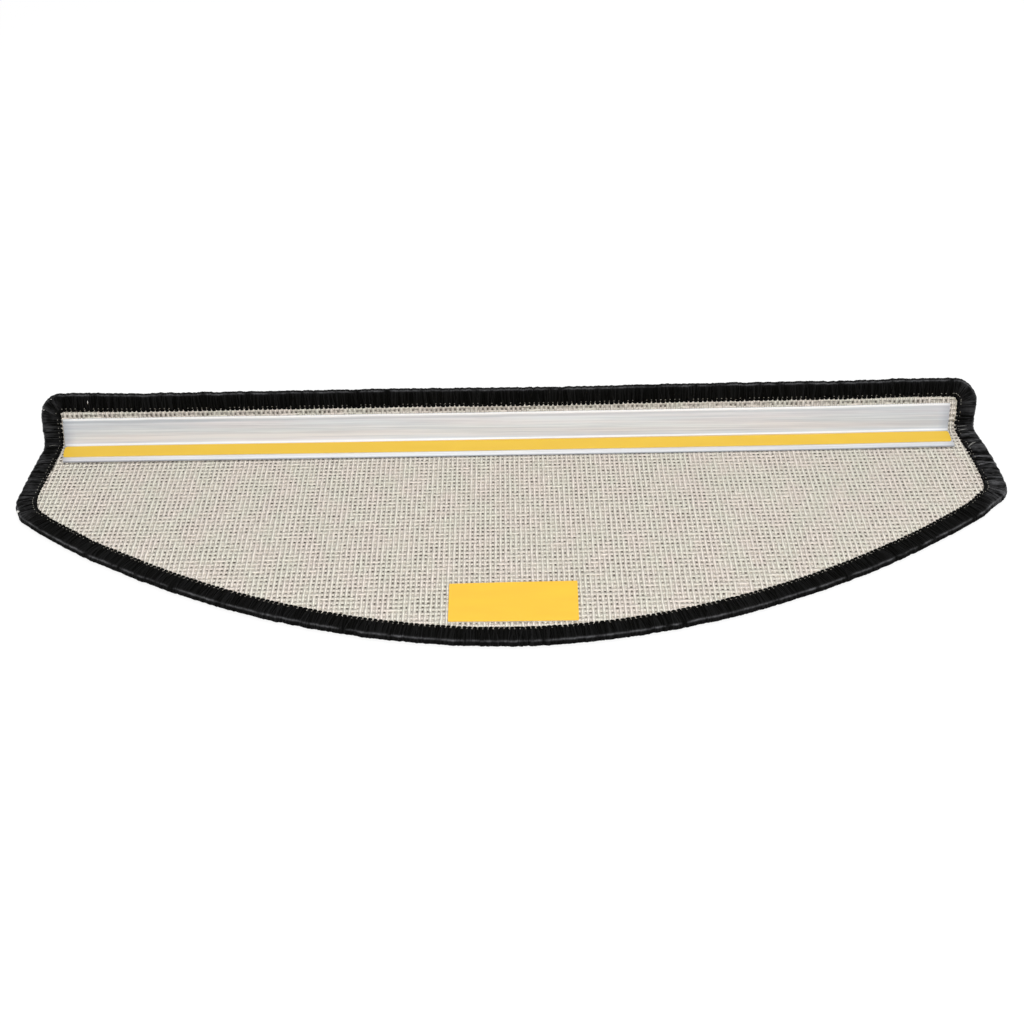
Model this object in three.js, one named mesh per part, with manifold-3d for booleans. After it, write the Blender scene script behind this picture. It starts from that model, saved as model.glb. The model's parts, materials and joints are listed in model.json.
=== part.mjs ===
// A carpet stair tread mat with a folded lip, lying on its pile with its woven backing up.
// The curved edge looks forward (-Y) and the lip stands at the back, leaning away a little.
// The flat pattern is drawn first: x across the mat, y from the curved nose to the lip's free edge
// and z up from the pile. It is then split along the fold's stations and bent there.

import * as THREE from 'three';
import { mergeVertices } from 'three/addons/utils/BufferGeometryUtils.js';
import Module from 'manifold-3d';

const wasm = await Module();
wasm.setup();

// Driving dimensions, in millimetres and degrees

// Outline of the mat
const MAT_WIDTH = 650;
const TREAD_DEPTH = 210;
const LIP_HEIGHT = 40;
const SHOULDER_RADIUS = 28;
const LIP_CORNER_RADIUS = 16;
// Slope of the front curve where it meets the shoulder
const FRONT_END_ANGLE = 37.5;
// How much the tread's sides and the lip's sides draw in towards the lip
const TREAD_SIDE_ANGLE = 3.2;
const LIP_SIDE_ANGLE = 1;

// Fold between tread and lip, with its radius on the backing side
const LIP_LEAN = 15;
const FOLD_RADIUS = 5;

// Carpet, from the pile to the crests of the backing's warp threads
const CARPET_THICKNESS = 5.5;
const WARP_PITCH = 3.2;
const GROOVE_WIDTH = 1.6;
const GROOVE_DEPTH = 0.6;
// Length of each groove that is hidden under the angle's tread leg
const GROOVE_HIDDEN_LENGTH = 6;

// Overlocked yarn edge, a U section round the carpet's thinned rim
const BINDING_WIDTH = 13;
const BINDING_THICKNESS = 6;
const BINDING_WALL = 1.1;
const BINDING_EDGE_WALL = 1.8;
const BINDING_INNER_BEVEL = 0.5;

// Plastic angle in the fold
const ANGLE_TREAD_LEG = 20.5;
const ANGLE_LIP_LEG = 19.5;
const ANGLE_WALL = 1.2;
const ANGLE_FILLET = 2.1;
// Gap between each end of the angle and the binding
const ANGLE_LEFT_GAP = 1.5;
const ANGLE_RIGHT_GAP = 6.5;

// Double-sided tape on the angle's tread leg, and the patch near the nose
const TAPE_WIDTH = 12;
const TAPE_EDGE_SETBACK = 4.3;
const TAPE_END_SETBACK = 1;
const PATCH_WIDTH = 78;
const PATCH_DEPTH = 34.5;
const PATCH_BINDING_GAP = 3.2;
const PATCH_OFFSET = 1.5;
const ADHESIVE_THICKNESS = 0.5;
const LINER_THICKNESS = 0.2;

// Clearance between soft neighbours, and behind the angle's upright leg
const SEAT_GAP = 0.3;

// Segments of the round stretches
const FRONT_HALF_STEPS = 18;
const SHOULDER_STEPS = 5;
const LIP_CORNER_STEPS = 5;
const ROUND_EDGE_STEPS = 4;
const FOLD_STEPS = 5;

// Sizes that follow from the driving dimensions

const radians = THREE.MathUtils.degToRad;
const frontEndAngle = radians(FRONT_END_ANGLE);
const treadSideAngle = radians(TREAD_SIDE_ANGLE);
const lipSideAngle = radians(LIP_SIDE_ANGLE);
const quarterTurn = Math.PI / 2;

const foldAngle = radians(90 - LIP_LEAN);
const foldOuterRadius = FOLD_RADIUS + CARPET_THICKNESS;
const foldNeutralRadius = FOLD_RADIUS + CARPET_THICKNESS / 2;
const foldTangent = foldOuterRadius * Math.tan(foldAngle / 2);
const foldStart = TREAD_DEPTH - foldTangent;
const foldEnd = foldStart + foldNeutralRadius * foldAngle;
const foldMiddle = (foldStart + foldEnd) / 2;
const freeEdge = foldEnd + LIP_HEIGHT - foldTangent;

// Where the planes of the tread's backing and of the lip's backing would meet
const backingCorner = foldStart + FOLD_RADIUS * Math.tan(foldAngle / 2);

const rimTop = BINDING_THICKNESS - BINDING_WALL - SEAT_GAP;
const rimBottom = BINDING_WALL + SEAT_GAP;
const rimInset = BINDING_EDGE_WALL + SEAT_GAP;
const carpetInset = BINDING_WIDTH + SEAT_GAP;

// One point of the outline, with the direction that points out of the mat there
function edgePoint(x, y, outX, outY) {
  return { at: new THREE.Vector2(x, y), out: new THREE.Vector2(outX, outY).normalize() };
}

function edgeArc(centreX, centreY, radius, fromAngle, toAngle, steps) {
  const points = [];
  for (let step = 0; step <= steps; step += 1) {
    const angle = THREE.MathUtils.lerp(fromAngle, toAngle, step / steps);
    const outX = Math.cos(angle);
    const outY = Math.sin(angle);
    points.push(edgePoint(centreX + outX * radius, centreY + outY * radius, outX, outY));
  }
  return points;
}

// Shoulder: an arc that carries the front curve's end round into the tread's side
const shoulderCentreX = MAT_WIDTH / 2 - SHOULDER_RADIUS;
const frontEndX = shoulderCentreX + SHOULDER_RADIUS * Math.sin(frontEndAngle);
const frontEndY = (frontEndX * Math.tan(frontEndAngle)) / 2;
const shoulderCentreY = frontEndY + SHOULDER_RADIUS * Math.cos(frontEndAngle);
const sideStartX = shoulderCentreX + SHOULDER_RADIUS * Math.cos(treadSideAngle);
const sideStartY = shoulderCentreY + SHOULDER_RADIUS * Math.sin(treadSideAngle);
const foldHalfWidth = sideStartX - (foldMiddle - sideStartY) * Math.tan(treadSideAngle);

function lipHalfWidth(y) {
  return foldHalfWidth - (y - foldMiddle) * Math.tan(lipSideAngle);
}

// The front curve is a parabola through the nose, as wide as its tangents at the shoulders allow
function frontCurve() {
  const points = [];
  for (let step = 0; step < FRONT_HALF_STEPS; step += 1) {
    const x = (frontEndX * step) / FRONT_HALF_STEPS;
    const slope = (x / frontEndX) * Math.tan(frontEndAngle);
    points.push(edgePoint(x, (x * slope) / 2, slope, -1));
  }
  return points;
}

function rightHalf() {
  const shoulder = edgeArc(
    shoulderCentreX, shoulderCentreY, SHOULDER_RADIUS,
    frontEndAngle - quarterTurn, treadSideAngle, SHOULDER_STEPS,
  );
  const foldOutAngle = (treadSideAngle + lipSideAngle) / 2;
  const fold = edgePoint(foldHalfWidth, foldMiddle, Math.cos(foldOutAngle), Math.sin(foldOutAngle));
  const cornerY = freeEdge - LIP_CORNER_RADIUS;
  const cornerX = lipHalfWidth(cornerY) - LIP_CORNER_RADIUS / Math.cos(lipSideAngle);
  const corner = edgeArc(
    cornerX, cornerY, LIP_CORNER_RADIUS, lipSideAngle, quarterTurn, LIP_CORNER_STEPS,
  );
  return [...frontCurve(), ...shoulder, fold, ...corner];
}

// The whole outline, counter-clockwise seen from the backing, starting at the nose
function matOutline() {
  const right = rightHalf();
  const left = right
    .slice(1)
    .reverse()
    .map(({ at, out }) => edgePoint(-at.x, at.y, -out.x, out.y));
  return [...right, ...left];
}

const outline = matOutline();

// A loop of points that follows the outline at one inset and one height
function ringAt([inset, height]) {
  return outline.map(({ at, out }) => (
    new THREE.Vector3(at.x - out.x * inset, at.y - out.y * inset, height)
  ));
}

function joinRings(faces, near, far) {
  const count = outline.length;
  for (let index = 0; index < count; index += 1) {
    const next = (index + 1) % count;
    faces.push([near + index, near + next, far + next], [near + index, far + next, far + index]);
  }
}

// A solid whose section goes once round the outline and closes on itself
function closedBand(section) {
  const faces = [];
  section.forEach((corner, index) => {
    joinRings(faces, index * outline.length, ((index + 1) % section.length) * outline.length);
  });
  return { points: section.flatMap(ringAt), faces };
}

// A solid whose section starts and ends on flat faces that fill the outline
function filledPlate(section) {
  const faces = [];
  const topStart = (section.length - 1) * outline.length;
  for (let index = 0; index < section.length - 1; index += 1) {
    joinRings(faces, index * outline.length, (index + 1) * outline.length);
  }
  const contour = ringAt(section[0]).map(({ x, y }) => new THREE.Vector2(x, y));
  THREE.ShapeUtils.triangulateShape(contour, []).forEach(([a, b, c]) => {
    faces.push([c, b, a]);
    faces.push([a + topStart, b + topStart, c + topStart]);
  });
  return { points: section.flatMap(ringAt), faces };
}

function solidOfMesh({ points, faces }) {
  return new wasm.Manifold(new wasm.Mesh({
    numProp: 3,
    vertProperties: new Float32Array(points.flatMap((point) => point.toArray())),
    triVerts: new Uint32Array(faces.flat()),
  }));
}

function solidOfGeometry(geometry) {
  geometry.deleteAttribute('normal');
  geometry.deleteAttribute('uv');
  const merged = mergeVertices(geometry);
  return new wasm.Manifold(new wasm.Mesh({
    numProp: 3,
    vertProperties: merged.attributes.position.array,
    triVerts: new Uint32Array(merged.index.array),
  }));
}

function meshOfSolid(solid) {
  const { vertProperties, triVerts } = solid.getMesh();
  const points = [];
  const faces = [];
  for (let index = 0; index < vertProperties.length; index += 3) {
    points.push(new THREE.Vector3().fromArray(vertProperties, index));
  }
  for (let index = 0; index < triVerts.length; index += 3) {
    faces.push([...triVerts.slice(index, index + 3)]);
  }
  return { points, faces };
}

// Splits each triangle that crosses the line y = station, so that the mesh can bend there
function splitAt({ points, faces }, station) {
  const tolerance = 1e-4;
  const crossings = new Map();
  const sideOf = (index) => {
    const distance = points[index].y - station;
    return Math.abs(distance) < tolerance ? 0 : Math.sign(distance);
  };
  const crossingOf = (a, b) => {
    const [low, high] = [Math.min(a, b), Math.max(a, b)];
    const key = `${low} ${high}`;
    if (!crossings.has(key)) {
      const share = (station - points[low].y) / (points[high].y - points[low].y);
      crossings.set(key, points.push(points[low].clone().lerp(points[high], share)) - 1);
    }
    return crossings.get(key);
  };
  const split = faces.flatMap((face) => {
    if (face.every((vertex) => sideOf(vertex) <= 0)) return [face];
    if (face.every((vertex) => sideOf(vertex) >= 0)) return [face];
    const halves = { '-1': [], 1: [] };
    face.forEach((vertex, corner) => {
      const next = face[(corner + 1) % 3];
      const side = sideOf(vertex);
      if (side <= 0) halves['-1'].push(vertex);
      if (side >= 0) halves[1].push(vertex);
      if (side * sideOf(next) < 0) {
        const crossing = crossingOf(vertex, next);
        halves['-1'].push(crossing);
        halves[1].push(crossing);
      }
    });
    return Object.values(halves).flatMap(([first, ...rest]) => (
      rest.slice(1).map((vertex, index) => [first, rest[index], vertex])
    ));
  });
  return { points, faces: split };
}

// Carries a point of the flat pattern to its place on the folded mat
function folded(point) {
  const turn = THREE.MathUtils.clamp((point.y - foldStart) / foldNeutralRadius, 0, foldAngle);
  const beyond = Math.max(point.y - foldEnd, 0);
  const radius = foldOuterRadius - point.z;
  return new THREE.Vector3(
    point.x,
    Math.min(point.y, foldStart) + radius * Math.sin(turn) + beyond * Math.cos(turn),
    foldOuterRadius - radius * Math.cos(turn) + beyond * Math.sin(turn),
  );
}

function foldedGeometry(flatMesh) {
  let mesh = flatMesh;
  for (let step = 0; step <= FOLD_STEPS; step += 1) {
    mesh = splitAt(mesh, THREE.MathUtils.lerp(foldStart, foldEnd, step / FOLD_STEPS));
  }
  const geometry = new THREE.BufferGeometry();
  geometry.setFromPoints(mesh.points.map(folded));
  geometry.setIndex(mesh.faces.flat());
  geometry.computeVertexNormals();
  return geometry;
}

// The angle's rounded heel stays in front of the bend, and its upright leg clear of the lip
const angleHeelRadius = ANGLE_FILLET + ANGLE_WALL;
const angleHeelTangent = angleHeelRadius * Math.tan(foldAngle / 2);
const angleCornerY = Math.min(
  foldStart + angleHeelTangent - SEAT_GAP,
  backingCorner - SEAT_GAP / Math.cos(radians(LIP_LEAN)),
);
const angleFrontY = angleCornerY - ANGLE_TREAD_LEG;

// V grooves between the warp threads, from the nose to just under the angle's tread leg
function warpGrooves() {
  const clearance = 1;
  const grooveCount = Math.floor((2 * (foldHalfWidth - carpetInset)) / WARP_PITCH);
  const halfTop = (GROOVE_WIDTH / 2) * (1 + clearance / GROOVE_DEPTH);
  const grooves = [];
  for (let index = 0; index < grooveCount; index += 1) {
    const x = (index - (grooveCount - 1) / 2) * WARP_PITCH;
    grooves.push(new THREE.Shape([
      new THREE.Vector2(x, CARPET_THICKNESS - GROOVE_DEPTH),
      new THREE.Vector2(x + halfTop, CARPET_THICKNESS + clearance),
      new THREE.Vector2(x - halfTop, CARPET_THICKNESS + clearance),
    ]));
  }
  const grooveEnd = angleFrontY + GROOVE_HIDDEN_LENGTH;
  const geometry = new THREE.ExtrudeGeometry(grooves, { depth: grooveEnd, bevelEnabled: false });
  geometry.rotateX(quarterTurn);
  geometry.translate(0, grooveEnd, 0);
  return solidOfGeometry(geometry);
}

// Carpet: pile and woven backing in one piece, with a thinned rim inside the binding
function carpetGeometry() {
  const blank = filledPlate([
    [carpetInset, 0],
    [carpetInset, rimBottom],
    [rimInset, rimBottom],
    [rimInset, rimTop],
    [carpetInset, rimTop],
    [carpetInset, CARPET_THICKNESS],
  ]);
  const grooved = solidOfMesh(blank).subtract(warpGrooves());
  return foldedGeometry(meshOfSolid(grooved));
}

// Binding: two flanges joined by a round outer edge
function bindingGeometry() {
  const edgeRadius = BINDING_THICKNESS / 2;
  const roundEdge = [];
  for (let step = 0; step <= ROUND_EDGE_STEPS; step += 1) {
    const angle = (Math.PI * step) / ROUND_EDGE_STEPS;
    roundEdge.push([edgeRadius * (1 - Math.sin(angle)), edgeRadius * (1 - Math.cos(angle))]);
  }
  return foldedGeometry(closedBand([
    [BINDING_WIDTH, BINDING_INNER_BEVEL],
    [BINDING_WIDTH - BINDING_INNER_BEVEL, 0],
    ...roundEdge,
    [BINDING_WIDTH - BINDING_INNER_BEVEL, BINDING_THICKNESS],
    [BINDING_WIDTH, BINDING_THICKNESS - BINDING_INNER_BEVEL],
    [BINDING_WIDTH, BINDING_THICKNESS - BINDING_WALL],
    [BINDING_EDGE_WALL, BINDING_THICKNESS - BINDING_WALL],
    [BINDING_EDGE_WALL, BINDING_WALL],
    [BINDING_WIDTH, BINDING_WALL],
  ]));
}

// The angle's ends, measured from the binding where the upright leg ends
const bindingInnerHalf = lipHalfWidth(foldEnd + ANGLE_LIP_LEG) - BINDING_WIDTH;
const angleLeft = ANGLE_LEFT_GAP - bindingInnerHalf;
const angleRight = bindingInnerHalf - ANGLE_RIGHT_GAP;
const angleLength = angleRight - angleLeft;
const angleCentreX = (angleLeft + angleRight) / 2;

// Section of the angle, with the corner of its outer faces at the origin, x forward and y up
function angleSection() {
  const backX = -Math.cos(foldAngle) * ANGLE_LIP_LEG;
  const backY = Math.sin(foldAngle) * ANGLE_LIP_LEG;
  const wallX = Math.sin(foldAngle) * ANGLE_WALL;
  const wallY = Math.cos(foldAngle) * ANGLE_WALL;
  const treadEnd = -quarterTurn;
  const lipEnd = treadEnd - foldAngle;
  const section = new THREE.Shape();
  section.moveTo(ANGLE_TREAD_LEG, 0);
  section.lineTo(ANGLE_TREAD_LEG, ANGLE_WALL);
  section.absarc(angleHeelTangent, angleHeelRadius, ANGLE_FILLET, treadEnd, lipEnd, true);
  section.lineTo(backX + wallX, backY + wallY);
  section.lineTo(backX, backY);
  section.absarc(angleHeelTangent, angleHeelRadius, angleHeelRadius, lipEnd, treadEnd, false);
  return section;
}

function angleGeometry() {
  const options = { depth: angleLength, bevelEnabled: false, curveSegments: FOLD_STEPS };
  const geometry = new THREE.ExtrudeGeometry(angleSection(), options);
  geometry.translate(0, 0, -angleLength / 2);
  geometry.rotateX(quarterTurn);
  geometry.rotateZ(-quarterTurn);
  return geometry;
}

// Colour and roughness of each material
const backingFinish = { color: 0xcdc8be, roughness: 0.95 };
const yarnFinish = { color: 0x141414, roughness: 0.7 };
const plasticFinish = { color: 0xe4e4e6, roughness: 0.3 };
const adhesiveFinish = { color: 0xf0ece0, roughness: 0.5 };
const linerFinish = { color: 0xf8cd55, roughness: 0.45 };

function piece(name, geometry, finish) {
  const mesh = new THREE.Mesh(geometry, new THREE.MeshStandardMaterial(finish));
  mesh.name = name;
  return mesh;
}

// A flat strip, given the centre of its underside
function strip(name, width, depth, thickness, centre, finish) {
  const geometry = new THREE.BoxGeometry(width, depth, thickness);
  geometry.translate(0, 0, thickness / 2);
  const mesh = piece(name, geometry, finish);
  mesh.position.copy(centre);
  return mesh;
}

// An adhesive strip with its release liner on top
function adhesiveWithLiner(name, width, depth, centre) {
  const linerCentre = centre.clone();
  linerCentre.z += ADHESIVE_THICKNESS;
  return [
    strip(`${name}_adhesive`, width, depth, ADHESIVE_THICKNESS, centre, adhesiveFinish),
    strip(`${name}_release_liner`, width, depth, LINER_THICKNESS, linerCentre, linerFinish),
  ];
}

function stairTreadMat() {
  const mat = new THREE.Group();
  const angle = piece('angle_profile', angleGeometry(), plasticFinish);
  angle.position.set(angleCentreX, angleCornerY, CARPET_THICKNESS);
  const tapeCentre = new THREE.Vector3(
    angleCentreX,
    angleFrontY + TAPE_EDGE_SETBACK + TAPE_WIDTH / 2,
    CARPET_THICKNESS + ANGLE_WALL,
  );
  const patchCentre = new THREE.Vector3(
    PATCH_OFFSET, BINDING_WIDTH + PATCH_BINDING_GAP + PATCH_DEPTH / 2, CARPET_THICKNESS,
  );
  mat.add(
    piece('carpet_mat', carpetGeometry(), backingFinish),
    piece('edge_binding', bindingGeometry(), yarnFinish),
    angle,
    ...adhesiveWithLiner('tape', angleLength - 2 * TAPE_END_SETBACK, TAPE_WIDTH, tapeCentre),
    ...adhesiveWithLiner('patch', PATCH_WIDTH, PATCH_DEPTH, patchCentre),
  );
  return mat;
}

// The origin is the middle of the mat's footprint box, on the surface that the pile lies on
const mat = stairTreadMat();
const extent = new THREE.Box3().setFromObject(mat, true);
mat.position.y = -(extent.min.y + extent.max.y) / 2;

const group = new THREE.Group();
group.add(mat);

export default group;
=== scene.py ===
"""Finishes a carpet stair tread mat that lies on its pile with its woven backing up.

The mat is drawn flat first, as it is cut: x across it, y from the nose of its curved edge to the free
edge of its lip, and z up from the pile. Every textile piece is grown on that flat pattern, and one node
group then folds it, so that threads, yarn and pile all bend together over the stair's edge.
"""

import json
import logging
import math
from dataclasses import dataclass
from enum import Enum
from itertools import accumulate
from typing import Callable, Iterable, Sequence, Union

import bpy
from mathutils import Matrix, Vector

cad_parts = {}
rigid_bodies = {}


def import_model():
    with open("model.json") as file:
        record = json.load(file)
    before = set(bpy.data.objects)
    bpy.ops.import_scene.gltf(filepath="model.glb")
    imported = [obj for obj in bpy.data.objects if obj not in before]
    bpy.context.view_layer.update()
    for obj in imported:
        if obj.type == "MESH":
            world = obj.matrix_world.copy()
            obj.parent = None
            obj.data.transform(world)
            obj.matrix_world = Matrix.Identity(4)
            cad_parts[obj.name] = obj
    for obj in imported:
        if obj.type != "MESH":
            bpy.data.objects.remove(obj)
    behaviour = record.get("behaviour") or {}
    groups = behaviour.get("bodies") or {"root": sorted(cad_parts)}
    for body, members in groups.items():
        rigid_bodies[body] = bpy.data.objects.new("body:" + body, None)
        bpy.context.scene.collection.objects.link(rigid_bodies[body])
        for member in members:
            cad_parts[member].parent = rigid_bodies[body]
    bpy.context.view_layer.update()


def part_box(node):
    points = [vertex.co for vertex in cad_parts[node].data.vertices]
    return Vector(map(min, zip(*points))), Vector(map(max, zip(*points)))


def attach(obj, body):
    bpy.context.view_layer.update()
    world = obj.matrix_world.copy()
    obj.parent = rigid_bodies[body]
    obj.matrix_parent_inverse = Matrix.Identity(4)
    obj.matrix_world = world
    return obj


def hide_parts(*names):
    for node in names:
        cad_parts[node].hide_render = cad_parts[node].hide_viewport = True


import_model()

LOG = logging.getLogger("stair_tread_mat")
BODY = "root"
MM = 0.001

Colour = tuple[float, float, float]
Feed = Union["Signal", "Sequence[Signal]", float, int, bool, str, tuple, bpy.types.ID]
Size = Union[float, int, bpy.types.Object]


def linear(*levels: int) -> Colour:
    """Turns a colour as a screen shows it into the linear light that shaders work in.

    Args:
        *levels: Red, green and blue, from 0 to 255.

    Returns:
        The three linear values, from 0 to 1.
    """
    shares = (level / 255 for level in levels)
    return tuple(s / 12.92 if s <= 0.04045 else ((s + 0.055) / 1.055) ** 2.4 for s in shares)


def math_method(operation: str, swapped: bool = False) -> Callable[..., "Signal"]:
    """Makes a method of Signal that adds one Math node.

    Args:
        operation: The node's operation.
        swapped: Whether the signal comes last, as where a number stands to the left of it.

    Returns:
        The method.
    """
    def method(self: "Signal", *others: Feed) -> "Signal":
        """Adds the node and gives its result."""
        return self.bench.math(operation, *((*others, self) if swapped else (self, *others)))
    return method


class Signal:
    """A socket that carries a value, on which Python's operators add Math nodes."""

    __add__, __radd__ = math_method("ADD"), math_method("ADD", swapped=True)
    __sub__, __rsub__ = math_method("SUBTRACT"), math_method("SUBTRACT", swapped=True)
    __mul__, __rmul__ = math_method("MULTIPLY"), math_method("MULTIPLY", swapped=True)
    __truediv__, __rtruediv__ = math_method("DIVIDE"), math_method("DIVIDE", swapped=True)
    at_least, at_most, above = (math_method(name) for name in ("MAXIMUM", "MINIMUM", "GREATER_THAN"))
    size, sine, cosine = (math_method(name) for name in ("ABSOLUTE", "SINE", "COSINE"))

    def __init__(self, bench: "Bench", socket: bpy.types.NodeSocket) -> None:
        """Wraps one output socket of a bench's tree."""
        self.bench, self.socket = bench, socket

    def limited(self) -> "Signal":
        """Keeps the value between 0 and 1."""
        return self.at_least(0.0).at_most(1.0)

    def swing(self, gain: float, middle: float = 0.5) -> "Signal":
        """Gives how far this is above a middle value, times a gain."""
        return (self - middle) * gain


class Fitting:
    """One node, whose outputs are read by name."""

    def __init__(self, bench: "Bench", node: bpy.types.Node) -> None:
        """Wraps one node of a bench's tree."""
        self.bench, self.node = bench, node

    def __getitem__(self, name: str) -> Signal:
        """Gives the output of that name that the node's settings leave in use."""
        return Signal(self.bench, next(s for s in self.node.outputs if s.name == name and s.enabled))


@dataclass(frozen=True)
class Grain:
    """A smooth noise: its lumps in each metre along x, y and z, its finer layers and their strength."""

    x: float
    y: float
    z: float
    detail: float = 2.0
    roughness: float = 0.5


class Bench:
    """Adds nodes to one tree, for a material or for geometry."""

    def __init__(self, tree: bpy.types.NodeTree) -> None:
        """Takes the tree to work on."""
        self.tree = tree

    def node(self, kind: str, settings: dict[str, object] | None = None,
             feeds: dict[str, Feed] | None = None) -> Fitting:
        """Adds any node.

        Args:
            kind: The node's type.
            settings: Its settings, which are set first. "stops" gives a ramp's places and colours.
            feeds: The value or signal of each input that isn't left alone, by the input's name.

        Returns:
            The node, for its outputs.
        """
        node = self.tree.nodes.new(kind)
        for name, value in (settings or {}).items():
            if name == "stops":
                self._set_stops(node.color_ramp, value)
            else:
                setattr(node, name, value)
        for name, value in (feeds or {}).items():
            self.feed(next(s for s in node.inputs if s.name == name and s.enabled), value)
        return Fitting(self, node)

    def feed(self, socket: bpy.types.NodeSocket, value: Feed) -> None:
        """Links a signal to an input, or sets the input's own value.

        Args:
            socket: The input.
            value: A signal, several signals for an input that joins them, or a plain value.
        """
        if isinstance(value, (Signal, list)):
            for signal in value if isinstance(value, list) else [value]:
                self.tree.links.new(signal.socket, socket)
        else:
            socket.default_value = (*value, 1.0) if socket.type == "RGBA" else value

    @staticmethod
    def _set_stops(ramp: bpy.types.ColorRamp, stops: Sequence[tuple[float, Colour]]) -> None:
        """Sets a ramp's stops.

        Args:
            ramp: The ramp, which starts with two stops.
            stops: The place and colour of each stop, in order.
        """
        while len(ramp.elements) < len(stops):
            ramp.elements.new(1.0)
        for element, (place, colour) in zip(ramp.elements, stops):
            element.position, element.color = place, (*colour, 1.0)

    def _reckon(self, kind: str, operation: str, values: Sequence[Feed]) -> Signal:
        """Adds a node that works out a sum from inputs in order.

        Args:
            kind: The node's type.
            operation: The node's operation.
            values: What its inputs get.

        Returns:
            The result.
        """
        fitting = self.node(kind, {"operation": operation})
        for socket, value in zip(fitting.node.inputs, values):
            self.feed(socket, value)
        return Signal(self, fitting.node.outputs[0])

    def math(self, operation: str, *values: Feed) -> Signal:
        """Adds a Math node."""
        return self._reckon("ShaderNodeMath", operation, values)

    def vector(self, operation: str, *values: Feed) -> Signal:
        """Adds a Vector Math node."""
        return self._reckon("ShaderNodeVectorMath", operation, values)

    def joined(self, x: Feed, y: Feed, z: Feed) -> Signal:
        """Makes a vector of three values."""
        return self.node("ShaderNodeCombineXYZ", feeds={"X": x, "Y": y, "Z": z})["Vector"]

    def parted(self, vector: Signal) -> list[Signal]:
        """Gives the three values of a vector."""
        node = self.node("ShaderNodeSeparateXYZ", feeds={"Vector": vector})
        return [node[axis] for axis in "XYZ"]

    def blend(self, share: Feed, first: Feed, second: Feed, how: str = "MIX") -> Signal:
        """Mixes two colours, by the share of the second one."""
        settings = {"data_type": "RGBA", "blend_type": how}
        return self.node("ShaderNodeMix", settings, {"Factor": share, "A": first, "B": second})["Result"]

    def noise(self, grain: Grain, place: Sequence[Signal], output: str = "Fac") -> Signal:
        """Gives smooth noise from 0 to 1.

        Args:
            grain: The noise.
            place: The x, y and z to read it at.
            output: "Fac" for one value, or "Color" for three.

        Returns:
            The noise at that point.
        """
        x, y, z = place
        feeds = {
            "Vector": self.joined(x * grain.x, y * grain.y, z * grain.z), "Scale": 1.0,
            "Detail": grain.detail, "Roughness": grain.roughness}
        return self.node("ShaderNodeTexNoise", feeds=feeds)[output]


@dataclass(frozen=True)
class EdgePoint:
    """One point of the mat's outline, with the direction that points out of the mat there."""

    at: Vector
    out: Vector


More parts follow.
